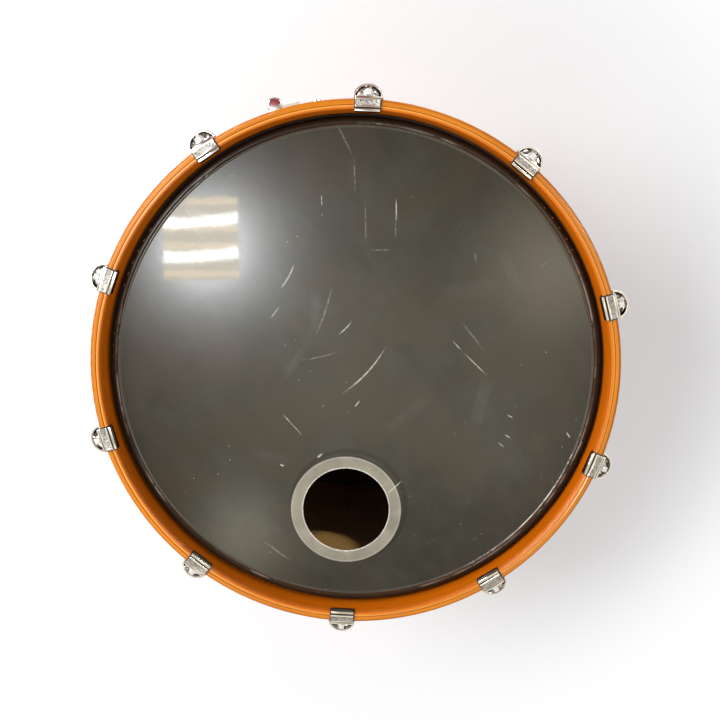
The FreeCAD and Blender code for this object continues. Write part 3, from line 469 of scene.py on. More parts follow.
def chrome(name, colour, polish, casting):
    """Chrome plate with finger smears; a cast part also has a slow ripple and a few pits."""
    material, tree = new_material(name)
    point, _ = place_of(tree)
    smear = noise(point, 90.0, 4.0, 0.65, 0.4)
    ripple = noise(point, 170.0, 2.0)
    pits = 1 - cells(point, 900.0).rise(0.05, 0.14)
    surface(tree, {"Base Color": mix(smear.rise(0.35, 0.7) * 0.35, colour, dimmed(colour, 0.8)),
                   "Metallic": 1.0, "Roughness": polish + smear.rise(0.45, 0.8) * 0.1},
            ripple - pits * 0.4, casting, 0.0004)
    return material


def claw_chrome(colour, polish):
    """Worn cast chrome: stippled in the sunk panel, darker in the groove, along the bend and in patches
    in the dish.
    """
    material, tree = new_material("claw_chrome")
    point, (x, y, z) = place_of(tree)
    radius = distance(x, y)
    up = facing_up(tree)

    def band(low, high, soft=0.0003):
        return radius.rise(low, low + soft) * (1 - radius.rise(high - soft, high))

    field = band(CLAW_PANEL[0] + 0.0008, CLAW_PANEL[1] - 0.0006) * up.rise(0.8, 0.95)
    stipple = cells(point, 1000.0)
    grit = noise(point, 620.0, 3.0, 0.75)
    smear = noise(point, 90.0, 4.0, 0.65, 0.4)
    groove_dark = band(CLAW_LIP - 0.0001, CLAW_GROOVE + 0.0003) * grit.rise(0.85, 0.58)
    bend = band(CLAW_PANEL[1] + 0.0004, CLAW_SKIRT[0] + 0.0006) * 0.45
    dish = depth_of(z).rise(0.0088, 0.0105) * radius.rise(0.2978, 0.2984) * up.rise(0.2, 0.5)
    patches = noise(point, 210.0, 2.0, 0.5, 0.8).rise(0.44, 0.54)
    dots = (1 - stipple.rise(0.20, 0.46)) * 0.6 + grit.rise(0.48, 0.58) * 0.7
    specks_and_darkening = (field * dots + groove_dark + bend + dish * patches * 0.9).math("MINIMUM", 1.0)
    height = (stipple + grit) * field + smear * 0.08
    plain = mix(field, colour, dimmed(colour, 0.58))
    surface(tree, {"Base Color": mix(specks_and_darkening, plain, (0.055, 0.045, 0.038)), "Metallic": 1.0,
                   "Roughness": polish + field * 0.42 + specks_and_darkening * 0.1},
            height, 0.45, 0.0004)
    return material


def threaded_chrome(colour, polish):
    """Bright chrome whose lower end is threaded down to the swivel nut."""
    material, tree = new_material("threaded_chrome")
    point, (_, _, z) = place_of(tree)
    depth = depth_of(z)
    threaded = depth.rise(0.052, 0.053)
    thread = (z * (2 * math.pi / THREAD_PITCH)).math("SINE") * threaded
    smear = noise(point, 90.0, 4.0, 0.65, 0.4)
    wear_and_sheen = depth.rise(0.0115, 0.0100)
    surface(tree, {"Base Color": mix(threaded * 0.4, colour, dimmed(colour, 0.5)),
                   "Metallic": 1.0 - wear_and_sheen * 0.55, "Roughness": polish + smear * 0.08 + wear_and_sheen * 0.25},
            thread + smear * 0.05, 0.5, 0.0003)
    return material


def brushed_metal(name, colour, roughness):
    """Plated or rolled metal with a fine drawn grain round the drum."""
    material, tree = new_material(name)
    point, (x, y, z) = place_of(tree)
    grain = noise(vector(x * 60, y * 60, z * 1600), 1.0, 3.0)
    cloud = noise(point, 60.0, 3.0)
    surface(tree, {"Base Color": mix(cloud.rise(0.3, 0.7) * 0.5, colour, dimmed(colour, 0.7)),
                   "Metallic": 1.0, "Roughness": roughness + grain * 0.15},
            grain, 0.08, 0.0002)
    return material


def channel_aluminium(colour):
    """Rolled aluminium that is bright outside and dark inside its mouth, where the film comes out of it.
    """
    material, tree = new_material("channel_aluminium")
    _, (x, y, z) = place_of(tree)
    outside = distance(x, y).rise(*CHANNEL_MOUTH)
    grain = noise(vector(x * 60, y * 60, z * 1600), 1.0, 3.0)
    surface(tree, {"Base Color": mix(outside, (0.012, 0.010, 0.008), colour), "Metallic": outside,
                   "Roughness": 0.6 - outside * 0.3 + grain * 0.15},
            grain, 0.08, 0.0002)
    return material


def black_rubber(colour):
    """Matt moulded rubber with a fine tooth and dusty patches."""
    material, tree = new_material("black_rubber")
    point, _ = place_of(tree)
    tooth = noise(point, 1100.0, 3.0)
    dust = noise(point, 45.0, 4.0, 0.7).rise(0.5, 0.85)
    surface(tree, {"Base Color": mix(dust * 0.35, colour, (0.16, 0.15, 0.14)),
                   "Roughness": 0.62 + dust * 0.2, "Specular IOR Level": 0.4},
            tooth, 0.25, 0.0002)
    return material


def woven_patch(colour):
    """Woven cloth with a rubbery weft, as on a beater patch."""
    material, tree = new_material("woven_patch")
    point, (x, y, _) = place_of(tree)
    warp = (x * 5200).math("SINE")
    weft = (y * 5200).math("SINE")
    cloth = warp * weft
    wear = noise(point, 60.0, 4.0).rise(0.45, 0.75)
    surface(tree, {"Base Color": mix(wear * 0.5 + cloth.rise(-1, 1) * 0.2, colour, (0.11, 0.1, 0.095)),
                   "Roughness": 0.75 + wear * 0.1},
            cloth, 0.35, 0.0003)
    return material


# Work on pieces

def dress(material, *names):
    """Give CAD nodes their finish."""
    for name in names:
        mesh = frame["nodes"][name].data
        mesh.materials.clear()
        mesh.materials.append(material)


def deselect():
    for piece in bpy.context.selected_objects:
        piece.select_set(False)


def pick(*pieces):
    """Select only these pieces and make the first one active."""
    deselect()
    for piece in pieces:
        piece.select_set(True)
    bpy.context.view_layer.objects.active = pieces[0]


def settle(piece):
    """Put a piece's place, turn and size in its mesh."""
    pick(piece)
    bpy.ops.object.transform_apply(location=True, rotation=True, scale=True)
    return piece


def add_box(low, high):
    """A box between two corners."""
    deselect()
    middle = [(a + b) / 2 for a, b in zip(low, high)]
    bpy.ops.mesh.primitive_cube_add(size=1.0, location=middle)
    box = bpy.context.object
    box.scale = [b - a for a, b in zip(low, high)]
    return settle(box)


def add_rod(radius, x, y, low, high, sides=24):
    """An upright cylinder between two levels."""
    deselect()
    bpy.ops.mesh.primitive_cylinder_add(vertices=sides, radius=radius, depth=high - low,
                                        location=(x, y, (low + high) / 2))
    return settle(bpy.context.object)


def edit_faces(piece, test):
    """Go into edit mode with the faces selected whose middle and normal pass a test."""
    pick(piece)
    bpy.context.tool_settings.mesh_select_mode = (False, False, True)
    bpy.ops.object.mode_set(mode="EDIT")
    bpy.ops.mesh.select_all(action="DESELECT")
    bpy.ops.object.mode_set(mode="OBJECT")
    for face in piece.data.polygons:
        face.select = test(face.center, face.normal)
    bpy.ops.object.mode_set(mode="EDIT")


def leave_edit():
    bpy.ops.object.mode_set(mode="OBJECT")


def cut_across(piece, place, normal, **options):
    """Cut every face of a piece along a plane."""
    edit_faces(piece, lambda middle, way: True)
    bpy.ops.mesh.bisect(plane_co=place, plane_no=normal, **options)
    leave_edit()


def push_faces(piece, test, move, inset=0.0):
    """Inset the chosen faces, then extrude or only move them."""
    edit_faces(piece, test)
    if inset:
        bpy.ops.mesh.inset(thickness=inset)
        bpy.ops.transform.translate(value=move)
    else:
        bpy.ops.mesh.extrude_region_move(TRANSFORM_OT_translate={"value": move})
    leave_edit()


def shrink_faces(piece, test, factor, middle, move=None):
    """Make the chosen faces smaller about a point; where a move is given, extrude them first."""
    edit_faces(piece, test)
    if move:
        bpy.ops.mesh.extrude_region_move()
        bpy.ops.transform.translate(value=move)
    bpy.ops.transform.resize(value=(factor, factor, 1.0), center_override=middle)
    leave_edit()


def round_edges(piece, width, steps=2, angle=30.0):
    """Round the edges that are sharper than an angle."""
    pick(piece)
    bevel = piece.modifiers.new("bevel", "BEVEL")
    bevel.width = width
    bevel.segments = steps
    bevel.limit_method = "ANGLE"
    bevel.angle_limit = math.radians(angle)
    bpy.ops.object.modifier_apply(modifier=bevel.name)
    return piece


def weld(name, material, *pieces):
    """Join loose parts into one smooth-shaded piece."""
    pick(*pieces)
    if len(pieces) > 1:
        bpy.ops.object.join()
    piece = bpy.context.object
    piece.name = name
    bpy.ops.object.shade_smooth_by_angle(angle=math.radians(35))
    piece.data.materials.clear()
    piece.data.materials.append(material)
    return piece


def copy_to(piece, name, matrix):
    """A copy with its own mesh, carried to its place."""
    twin = piece.copy()
    twin.name = name
    twin.data = piece.data.copy()
    twin.data.transform(matrix)
    bpy.context.scene.collection.objects.link(twin)
    return twin


def lug_places(end):
    """The turns that carry a piece from +Y in the end frame to its lug, with their numbers."""
    if end == "front":
        seat = Matrix.Translation((0, 0, FRONT_FACE))
    else:
        seat = Matrix.Translation((0, 0, REAR_FACE)) @ Matrix.Rotation(math.pi, 4, "Y")
    step = 2 * math.pi / LUGS
    return [(number, Matrix.Rotation(-step * (number - 0.5), 4, "Z") @ seat)
            for number in range(1, LUGS + 1)]


# Settings

def colour_setting(name, description, default):
    return FloatVectorProperty(name=name, description=description, default=default,
                               subtype="COLOR", min=0, max=1)


class HoopSettings(bpy.types.PropertyGroup):
    amber: colour_setting("Amber", "Tone of the lacquer on the hoops' faces", (0.95, 0.315, 0.006))
    burnt: colour_setting("Burnt amber", "Tone of the lacquer on the hoops' walls", (0.88, 0.195, 0.003))


class ShellSettings(bpy.types.PropertyGroup):
    honey: colour_setting("Honey", "Bright tone of the shell's lacquer", (0.80, 0.255, 0.009))
    toffee: colour_setting("Toffee", "Dark tone of the shell's grain", (0.52, 0.125, 0.003))
    maple: colour_setting("Maple", "Bare maple inside the shell", (0.66, 0.42, 0.19))


class HeadSettings(bpy.types.PropertyGroup):
    film: colour_setting("Film", "Dark tone of the front head", (0.022, 0.020, 0.013))
    haze: colour_setting("Haze", "Tone of the front head's scuffed haze", (0.052, 0.055, 0.044))
    batter: colour_setting("Batter film", "Tone of the rear head", (0.060, 0.036, 0.018))
    ring: colour_setting("Port ring", "Tone of the ring round the port", (0.36, 0.326, 0.250))
    ring_edge: colour_setting("Ring edge", "Bright cut edge of the port's ring", (0.92, 0.90, 0.82))


class MetalSettings(bpy.types.PropertyGroup):
    plate: colour_setting("Chrome", "Tone of the chrome plate", (0.80, 0.79, 0.78))
    polish: FloatProperty(name="Polish", description="Roughness of the best polished chrome",
                          default=0.06, min=0.0, max=1.0)
    zinc: colour_setting("Zinc", "Tone of the zinc-plated fittings", (0.50, 0.49, 0.46))


class StageSettings(bpy.types.PropertyGroup):
    camera_place: FloatVectorProperty(name="Camera place", description="Where the camera stands",
                                      default=(0.0644, 0.1534, 1.3358),
                                      subtype="TRANSLATION", unit="LENGTH")
    camera_turn: FloatVectorProperty(name="Camera turn", description="How the camera is turned",
                                     default=(-0.16800, 0.01800, -0.26316),
                                     subtype="EULER", unit="ROTATION")
    sky: FloatProperty(name="Sky", description="Strength of the even light from all round",
                       default=0.52, min=0.0)
    key: FloatProperty(name="Key lamp", description="Power of the large lamp on the left, in watts",
                       default=40.0, min=0.0)
    fill: FloatProperty(name="Fill lamp", description="Power of the small lamp below the view, in watts",
                        default=7.5, min=0.0)
    spot: FloatProperty(name="Port spot", description="Power of the beam through the port, in watts",
                        default=150.0, min=0.0)


# Operators

class STAGE_OT_lights(bpy.types.Operator):
    """Set the camera, the white floor, the lamps and the room that the gloss reflects"""
    bl_idname = "bass_drum.stage"
    bl_label = "Stage"

    def execute(self, context):
        settings = context.scene.bass_drum_stage
        camera = bpy.data.cameras.new("camera")
        camera.lens = LENS
        camera.sensor_width = 36.0
        holder = bpy.data.objects.new("camera", camera)
        holder.location = settings.camera_place
        holder.rotation_euler = settings.camera_turn
        context.scene.collection.objects.link(holder)
        context.scene.camera = holder
        context.scene.view_settings.view_transform = "Standard"
        self.add_floor()
        self.add_lamp("key_lamp", KEY_PLACE, 1.3, settings.key)
        self.add_lamp("fill_lamp", FILL_PLACE, 0.9, settings.fill, shining=False)
        self.add_port_spot(settings.spot)
        self.add_walls()
        self.add_ceiling()
        self.add_ceiling_panel()
        self.add_window_glow()
        self.add_sky(context.scene, settings.sky)
        return {"FINISHED"}

    def add_floor(self):
        """White paper that takes the drum's shadow and fades into the white background."""
        deselect()
        bpy.ops.mesh.primitive_plane_add(size=16.0, location=(0, 0, -0.0005))
        floor = bpy.context.object
        floor.name = "floor"
        material, tree = new_material("floor_paper")
        rays = add_node(tree, "LightPath", {}, {}).output.node
        camera, gloss = (Value(tree, rays.outputs[f"Is {kind} Ray"]) for kind in ("Camera", "Glossy"))
        seen = camera.math("MAXIMUM", gloss)
        _, (x, y, _) = place_of(tree)
        far = distance(x, y).rise(*FLOOR_FADE)
        flat = add_node(tree, "BsdfDiffuse", {}, {"Color": (0.86, 0.865, 0.88)})
        near = add_node(tree, "AddShader", {}, {0: flat, 1: emit(tree, (1.0, 1.0, 1.0), seen * 0.15)})
        close(tree, blend(tree, far * seen, near, emit(tree, (1.0, 1.0, 1.0), 1.0)))
        floor.data.materials.append(material)

    def hang_lamp(self, lamp, place, target, shining):
        """Place a lamp and aim it; reflections see it only if it is shining."""
        holder = bpy.data.objects.new(lamp.name, lamp)
        holder.location = place
        aim = Vector(target) - holder.location
        holder.rotation_euler = aim.to_track_quat("-Z", "Y").to_euler()
        holder.visible_glossy = shining
        bpy.context.scene.collection.objects.link(holder)

    def add_lamp(self, name, place, size, power, shining=True):
        """A round lamp aimed at the drum."""
        lamp = bpy.data.lights.new(name, "AREA")
        lamp.shape = "DISK"
        lamp.size = size
        lamp.energy = power
        self.hang_lamp(lamp, place, (0, 0, 0.3), shining)

    def add_port_spot(self, power):
        """A narrow beam through the port that lights a patch of the shell's inner wall."""
        lamp = bpy.data.lights.new("port_spot", "SPOT")
        lamp.energy = power
        lamp.spot_size = SPOT_ANGLE
        lamp.spot_blend = 0.08
        lamp.shadow_soft_size = 0.01
        lamp.color = (1.0, 0.90, 0.62)
        self.hang_lamp(lamp, SPOT_PLACE, PORT_CENTRE, False)

    def finish_card(self, card, name):
        """Let only reflections see a card, and give it a material of its own."""
        card.name = name
        card.visible_camera = False
        card.visible_diffuse = False
        card.visible_shadow = False
        card.visible_transmission = False
        material, tree = new_material(name + "_light")
        card.data.materials.append(material)
        return tree

    def add_card(self, name, size, place, turn=0.0):
        """A flat card that faces down on the drum; gives the tree of its material."""
        deselect()
        bpy.ops.mesh.primitive_plane_add(size=1.0, location=place, rotation=(math.pi, 0, turn))
        bpy.context.object.scale = (*size, 1.0)
        return self.finish_card(bpy.context.object, name)

    def add_walls(self):
        """Round walls of grey and dark panels, with bright windows and a red curtain."""
        deselect()
        bpy.ops.mesh.primitive_cylinder_add(vertices=64, radius=ROOM_RADIUS, depth=ROOM_HEIGHT,
                                            end_fill_type="NOTHING", location=(0, 0, WALL_MIDDLE))
        tree = self.finish_card(bpy.context.object, "walls")
        _, (x, y, z) = place_of(tree)
        bearing = x.math("ARCTAN2", y)

        def opening(middle, half_width, low, high, soft=0.03):
            """1 inside a window: bearing in degrees from +Y, height in metres from the walls' middle."""
            off = (bearing - math.radians(middle)).math("ABSOLUTE")
            across = 1 - off.rise(half_width - soft, half_width + soft)
            return across * z.rise(low - soft, low + soft) * (1 - z.rise(high - soft, high + soft))

        panels = (bearing * 5.0 + 0.6).math("SINE").rise(-0.35, 0.45)
        upper = mix(panels, (0.26, 0.24, 0.22), (0.80, 0.78, 0.75))
        lower = mix(panels, (0.16, 0.15, 0.14), (0.72, 0.71, 0.70))
        plain = mix(1 - z.rise(-1.1, 0.0), upper, lower)
        wall = emit(tree, mix(opening(-48, 0.42, -1.0, 0.2), plain, (0.42, 0.055, 0.060)), 1.0)
        low = opening(-36, 0.10, 0.25, 1.05) * 0.5 + opening(70, 0.16, 0.15, 1.05)
        low = low + opening(164, 0.10, 0.3, 0.9) * 0.4
        high = opening(-51, 0.30, 0.66, 0.92) + opening(60, 0.20, 0.66, 0.92)
        window = emit(tree, (1.0, 0.97, 0.92), 9.0 + high * 24.0)
        close(tree, blend(tree, low + high, wall, window))

    def add_ceiling(self):
        """A dim ceiling with soft pools of light, a bright surround and a patch of red."""
        tree = self.add_card("ceiling", (CEILING_WIDTH, CEILING_WIDTH), (0, 0, ROOM_HEIGHT))
        _, (x, y, _) = place_of(tree)
        x, y = x * CEILING_WIDTH, y * -CEILING_WIDTH

        def pool(across, along, spread):
            off = distance(x, y, (across, along))
            return (off * off * (-0.5 / (spread * spread))).math("EXPONENT")

        level = 0.27 + pool(-0.20, -0.33, 0.46) * 0.68 + pool(0.71, -0.20, 0.20) * 1.30
        level = level + pool(0.42, -0.82, 0.24) * 0.42 + pool(-0.80, -0.95, 0.14) * 1.2
        level = level + distance(x, y, (-0.165, -0.386)).rise(0.98, 1.06) * 0.62
        tone = mix(level * 0.5, (0.0, 0.0, 0.0), (2.20, 2.0, 1.58))
        hanging = ((x + 0.26) ** 2.0 * 0.4 + (y - 1.14) ** 2.0) ** 0.5
        tone = mix(1 - hanging.rise(0.54, 0.58), tone, (0.36, 0.050, 0.055))
        close(tree, emit(tree, tone, 1.0))

    def add_ceiling_panel(self):
        """A banded light panel over the drum, with one corner cut off."""
        tree = self.add_card("ceiling_panel", PANEL_SIZE, PANEL_PLACE, PANEL_TURN)
        _, (x, y, _) = place_of(tree)
        wave = noise(vector(x * 1.5, y * 6, 0.0), 1.0, 1.0) * 0.05
        sag = (x + 0.3) ** 2.0 * 0.10

        def bands(level, half_width, soft, *middles):
            return sum((level - middle).math("ABSOLUTE").rise(half_width + soft, half_width - soft)
                       for middle in middles)

        white = bands(y + wave + sag, 0.068, 0.02, -0.17, 0.25)
        cream = bands(y + wave, 0.038, 0.012, -0.42, -0.10, 0.11, 0.45)
        stripe = bands(y, 0.006, 0.004, -0.455, -0.39, -0.12, 0.09, 0.43, 0.475)
        stripe = stripe + bands(x, 0.005, 0.004, -0.22, 0.18) * 0.5
        light = mix(cream * 0.7, (0.86, 0.80, 0.68), (1.0, 0.87, 0.66))
        light = mix(stripe * 0.45, light, (1.0, 0.66, 0.50))
        light = mix(white, light, (1.0, 0.99, 0.94))
        glow = emit(tree, light, 8.6 + cream * 1.6 + white * 8.0)
        kept = ((x + 0.5) / 0.38 + (y + 0.5) / 0.32).rise(0.93, 1.0)
        close(tree, blend(tree, kept, add_node(tree, "BsdfTransparent", {}, {}), glow))

    def add_window_glow(self):
        """A wide card behind the panel, bright in the middle and fading outwards."""
        tree = self.add_card("window_glow", GLOW_SIZE, GLOW_PLACE, PANEL_TURN)
        _, (x, y, _) = place_of(tree)
        fade = ((0.0727 - distance(x, y)) * 17.5).math("EXPONENT").math("MINIMUM", 1.0)
        glow = emit(tree, (0.96, 0.98, 1.0), 8.0)
        close(tree, blend(tree, fade, add_node(tree, "BsdfTransparent", {}, {}), glow))

    def add_sky(self, scene, strength):
        """White where it is seen or reflected, and an even light for the rest."""
        world = bpy.data.worlds.new("studio")
        world.use_nodes = True
        scene.world = world
        tree = world.node_tree
        tree.nodes.clear()
        rays = add_node(tree, "LightPath", {}, {}).output.node
        seen = sum(Value(tree, rays.outputs[f"Is {kind} Ray"])
                   for kind in ("Camera", "Glossy", "Transmission"))
        tone = mix(seen.math("MINIMUM", 1.0), (strength, strength, strength), (1.0, 1.0, 1.0))
        light = add_node(tree, "Background", {}, {"Color": tone, "Strength": 1.0})
        add_node(tree, "OutputWorld", {}, {"Surface": light})


class HOOPS_OT_lacquer(bpy.types.Operator):
    """Lacquer the front and rear hoops"""
    bl_idname = "bass_drum.hoops"
    bl_label = "Hoops"

    def execute(self, context):
        settings = context.scene.bass_drum_hoops
        dress(amber_lacquer(tuple(settings.amber), tuple(settings.burnt)), "front_hoop", "rear_hoop")
        return {"FINISHED"}


class SHELL_OT_finish(bpy.types.Operator):
    """Lacquer the shell"""
    bl_idname = "bass_drum.shell"
    bl_label = "Shell"

    def execute(self, context):
        settings = context.scene.bass_drum_shell
        dress(maple_shell(tuple(settings.honey), tuple(settings.toffee), tuple(settings.maple)), "shell")
        return {"FINISHED"}


class HEADS_OT_finish(bpy.types.Operator):
    """Finish both heads, the port's ring, the beater patch and the flesh hoops"""
    bl_idname = "bass_drum.heads"
    bl_label = "Heads"

    def execute(self, context):
        settings = context.scene.bass_drum_heads
        dress(black_film(tuple(settings.film), tuple(settings.haze)), "front_head")
        batter = tuple(settings.batter)
        dress(plain_film("batter_film", batter, dimmed(batter, 0.6), 0.3), "rear_head")
        dress(frosted_ring(tuple(settings.ring), tuple(settings.ring_edge)), "port_ring")
        dress(woven_patch((0.03, 0.028, 0.026)), "impact_patch")
        dress(channel_aluminium((0.62, 0.62, 0.63)), "front_flesh_hoop", "rear_flesh_hoop")
        return {"FINISHED"}


class CLAWS_OT_cast(bpy.types.Operator):
    """Cast one claw, with its hook, stippled panel and dished ear, and set it at every lug"""
    bl_idname = "bass_drum.claws"
    bl_label = "Claws"

    def execute(self, context):
        settings = context.scene.bass_drum_metal
        chrome_plate = claw_chrome(tuple(settings.plate), settings.polish)
        claw = weld("claw", chrome_plate, self.make_plate(), self.make_ear(), *self.make_ribs())
        for end in ("front", "rear"):
            for number, place in lug_places(end):
                piece = copy_to(claw, f"{end}_claw_{number:02d}", place)
                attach(piece, "drum")
                if number == 1:
                    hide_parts(end + "_claws")
        bpy.data.objects.remove(claw)
        return {"FINISHED"}

    def make_plate(self):
        """The bent plate: hook, rolled lip, groove, sunk panel and skirt."""
        wide = CLAW_HALF_WIDTH
        plate = add_box((-wide, CLAW_HOOK[0], CLAW_PAD), (wide, CLAW_SKIRT[1], CLAW_TOP))
        for y in (CLAW_HOOK[1], CLAW_LIP, CLAW_GROOVE, CLAW_PANEL[0], CLAW_PANEL[1], CLAW_SKIRT[0]):
            cut_across(plate, (0, y, 0), (0, 1, 0))
        hook, skirt = ((0, 0, -drop) for drop in CLAW_DROPS)
        groove, panel = ((0, 0, -sink) for sink in CLAW_SINKS)
        push_faces(plate, lambda at, way: way.z < -0.9 and at.y < CLAW_HOOK[1], hook)
        push_faces(plate, lambda at, way: way.z < -0.9 and at.y > CLAW_SKIRT[0], skirt)
        push_faces(plate, lambda at, way: way.z > 0.9 and CLAW_LIP < at.y < CLAW_GROOVE, groove)
        push_faces(plate, lambda at, way: way.z > 0.9 and CLAW_PANEL[0] < at.y < CLAW_PANEL[1], panel,
                   inset=0.0012)
        return round_edges(plate, 0.0006, 3)

    def make_ear(self):
        """Half of a dished disc, with a thick rim and a bowl round the rod's seat."""
        low, _, rim = EAR_LEVELS
        middle = (0, CLAW_SKIRT[1], 0)
        ear = add_rod(CLAW_EAR, 0, CLAW_SKIRT[1], low, rim, 48)
        cut_across(ear, middle, (0, 1, 0), use_fill=True, clear_inner=True)

        def bowl(at, way):
            return way.z > 0.9 and (at - Vector((0, middle[1], at.z))).length < 0.009

        for factor, drop in EAR_STEPS:
            shrink_faces(ear, bowl, factor, middle, (0, 0.0003, -drop))
        ear.scale.x = CLAW_SPREAD
        return round_edges(settle(ear), 0.0007, 3, 40.0)

    def make_ribs(self):
        """The rod's seat, and a rib from it to each corner of the ear."""
        _, floor, rim = EAR_LEVELS
        seat = round_edges(add_rod(0.0060, 0, ROD_CIRCLE, floor, ROD_SEAT), 0.0005)
        ribs = [seat]
        for side in (-1, 1):
            rib = add_box((0.004, -0.0010, floor), (0.0145, 0.0010, rim - 0.0006))
            rib.rotation_euler.z = -0.30 if side > 0 else math.pi + 0.30
            rib.location = (0, ROD_CIRCLE, 0)
            ribs.append(round_edges(settle(rib), 0.0007))
        return ribs


class RODS_OT_turn(bpy.types.Operator):
    """Turn one tension rod, with its square head and thread, and give every lug its own"""
    bl_idname = "bass_drum.rods"
    bl_label = "Tension rods"

    def execute(self, context):
        settings = context.scene.bass_drum_metal
        rod = self.make_rod(threaded_chrome(tuple(settings.plate), settings.polish))
        for end in ("front", "rear"):
            for number, place in lug_places(end):
                name = f"{end}_rod_{number:02d}"
                piece = copy_to(rod, name + "_turned", place)
                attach(piece, name)
                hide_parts(name)
        bpy.data.objects.remove(rod)
        return {"FINISHED"}

    def make_rod(self, material):
        """Shank with a chamfered tip, washer-faced collar, neck and worn square head."""
        floor = ROD_SEAT + ROD_WASHER
        radius, height = ROD_COLLAR
        shank = add_rod(ROD_SHANK, 0, ROD_CIRCLE, ROD_END, floor + 0.0005, 20)
        shank = round_edges(shank, 0.0007, 1, 60.0)
        collar = round_edges(add_rod(radius, 0, ROD_CIRCLE, floor, floor + height, 32), 0.0006, 3)
        neck = add_rod(ROD_NECK, 0, ROD_CIRCLE, floor + height - 0.0002, floor + height + 0.0012)
        neck = round_edges(neck, 0.0008, 3)
        side = ROD_SQUARE
        head = add_box((-side, ROD_CIRCLE - side, floor + height), (side, ROD_CIRCLE + side, 0.0005))
        return weld("rod", material, shank, collar, neck, round_edges(head, 0.0010, 3))


class WINGS_OT_turn(bpy.types.Operator):
    """Turn the three wing bolts, with domed lobes and a tapered hub"""
    bl_idname = "bass_drum.wings"
    bl_label = "Wing bolts"

    def execute(self, context):
        settings = context.scene.bass_drum_metal
        bright = chrome("wing_chrome", tuple(settings.plate), settings.polish, 0.02)
        lean = math.radians(TOM_WING_BEARING)
        tom_wing = self.make_wing(bright, "tom_wing_turned", TOM_WING)
        self.set_wing(tom_wing, "tom_wing_turn", "tom_wing_bolt",
                      Vector((math.cos(lean), math.sin(lean), 0)))
        spur_wing = self.make_wing(bright, "right_spur_wing_turned", SPUR_WING)
        twin = copy_to(spur_wing, "left_spur_wing_turned", Matrix.Identity(4))
        self.set_wing(spur_wing, "right_leg_wing_turn", "right_spur_wing", Vector((0, 0, 1)))
        self.set_wing(twin, "left_leg_wing_turn", "left_spur_wing", Vector((0, 0, 1)))
        return {"FINISHED"}

    def make_wing(self, material, name, size):
        """A wing bolt along x whose turning axis is z; its levels are counted from the joint."""
        hub, reach, tip, seat, shank = size
        parts = [add_rod(WING_SHANK, 0, 0, seat - shank, seat + 0.001)]
        body = add_rod(hub, 0, 0, seat, seat + WING_HUB, 32)
        shrink_faces(body, lambda at, way: way.z > 0.9, 0.72, (0, 0, 0))
        parts.append(round_edges(body, 0.0009, 3))
        for side in (-1, 1):
            low, high = (seat + level for level in WING_LOBE)
            lobe = add_rod(tip, side * reach, 0, low, high, 40)
            parts.append(round_edges(lobe, 0.0021, 5))
            low, high = (seat + level for level in WING_ARM)
            arm = add_box((0, -WING_ARM_HALF, low), (side * reach, WING_ARM_HALF, high))
            edit_faces(arm, lambda at, way: True)
            bpy.ops.mesh.normals_make_consistent(inside=False)
            leave_edit()
            parts.append(round_edges(arm, 0.0015, 4))
        return weld(name, material, *parts)

    def set_wing(self, piece, joint_name, node, along):
        """Carry a wing bolt to its joint, with its wings along a direction."""
        joint = JOINTS[joint_name]
        axis = Vector(joint["axis"]).normalized()
        turn = Matrix((along, axis.cross(along), axis)).transposed().to_4x4()
        piece.data.transform(Matrix.Translation(joint["pos_m"]) @ turn)
        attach(piece, joint["child"])
        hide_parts(node)


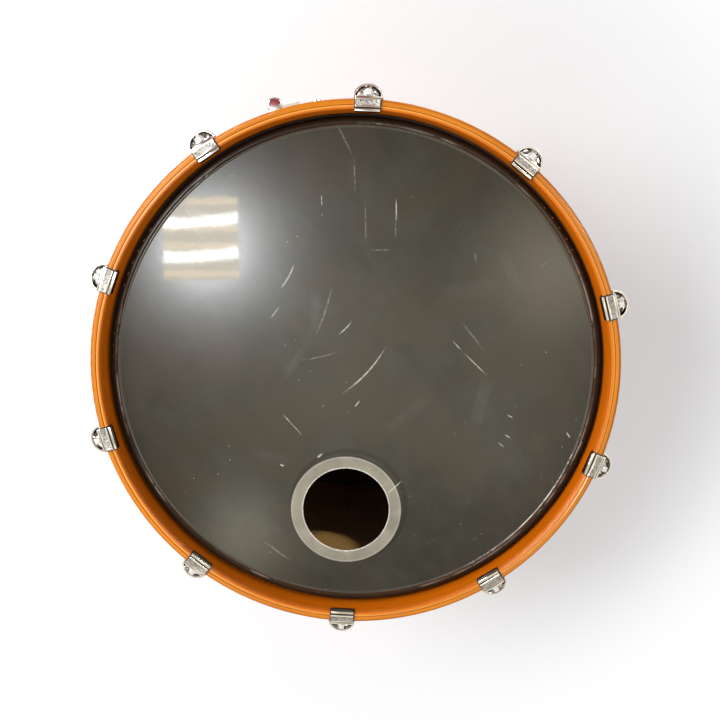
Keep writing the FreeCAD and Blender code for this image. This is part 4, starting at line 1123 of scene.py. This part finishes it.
class METAL_OT_plate(bpy.types.Operator):
    """Plate the lugs, the tom bracket and the spurs"""
    bl_idname = "bass_drum.metal"
    bl_label = "Metalwork"

    def execute(self, context):
        settings = context.scene.bass_drum_metal
        plate = tuple(settings.plate)
        cast = chrome("cast_chrome", plate, settings.polish + 0.02, 0.12)
        bright = chrome("bright_chrome", plate, settings.polish, 0.02)
        zinc = brushed_metal("zinc_plate", tuple(settings.zinc), 0.34)
        dress(cast, "front_lugs", "rear_lugs", "tom_base", "tom_clamp",
              "left_spur_base", "left_spur_arm", "right_spur_base", "right_spur_arm")
        dress(bright, "vent_grommet", "tom_hinge_pin", "tom_screws", "spur_screws",
              "spur_pivots", "left_spur_tube", "left_spur_rod", "right_spur_tube", "right_spur_rod")
        dress(zinc, "washers", "swivel_nuts", "lug_bolts")
        return {"FINISHED"}


class RUBBER_OT_finish(bpy.types.Operator):
    """Finish the claw pads, gaskets and spur feet"""
    bl_idname = "bass_drum.rubber"
    bl_label = "Rubber"

    def execute(self, context):
        dress(black_rubber((0.022, 0.022, 0.023)), "claw_pads", "lug_gaskets", "tom_gasket",
              "spur_gaskets", "left_spur_foot", "right_spur_foot")
        return {"FINISHED"}


OPERATORS = (STAGE_OT_lights, SHELL_OT_finish, HOOPS_OT_lacquer, HEADS_OT_finish, CLAWS_OT_cast,
             RODS_OT_turn, WINGS_OT_turn, METAL_OT_plate, RUBBER_OT_finish)
SETTINGS = {
    "bass_drum_stage": StageSettings,
    "bass_drum_shell": ShellSettings,
    "bass_drum_hoops": HoopSettings,
    "bass_drum_heads": HeadSettings,
    "bass_drum_metal": MetalSettings,
}


class DRUM_PT_panel(bpy.types.Panel):
    """Shows the drum's settings and the buttons for its steps"""
    bl_idname = "DRUM_PT_panel"
    bl_label = "Bass Drum"
    bl_space_type = "VIEW_3D"
    bl_region_type = "UI"
    bl_category = "Bass Drum"

    def draw(self, context):
        for name in SETTINGS:
            box = self.layout.box()
            group = getattr(context.scene, name)
            for key in group.bl_rna.properties.keys():
                if key not in ("rna_type", "name"):
                    box.prop(group, key)
        for operator in OPERATORS:
            self.layout.operator(operator.bl_idname)


def register():
    for name, group in SETTINGS.items():
        bpy.utils.register_class(group)
        setattr(bpy.types.Scene, name, PointerProperty(type=group))
    for operator in OPERATORS:
        bpy.utils.register_class(operator)
    bpy.utils.register_class(DRUM_PT_panel)


def unregister():
    bpy.utils.unregister_class(DRUM_PT_panel)
    for operator in reversed(OPERATORS):
        bpy.utils.unregister_class(operator)
    for name, group in reversed(SETTINGS.items()):
        delattr(bpy.types.Scene, name)
        bpy.utils.unregister_class(group)


def main():
    register()
    for operator in OPERATORS:
        group, name = operator.bl_idname.split(".")
        getattr(getattr(bpy.ops, group), name)()


if __name__ == "__main__":
    main()
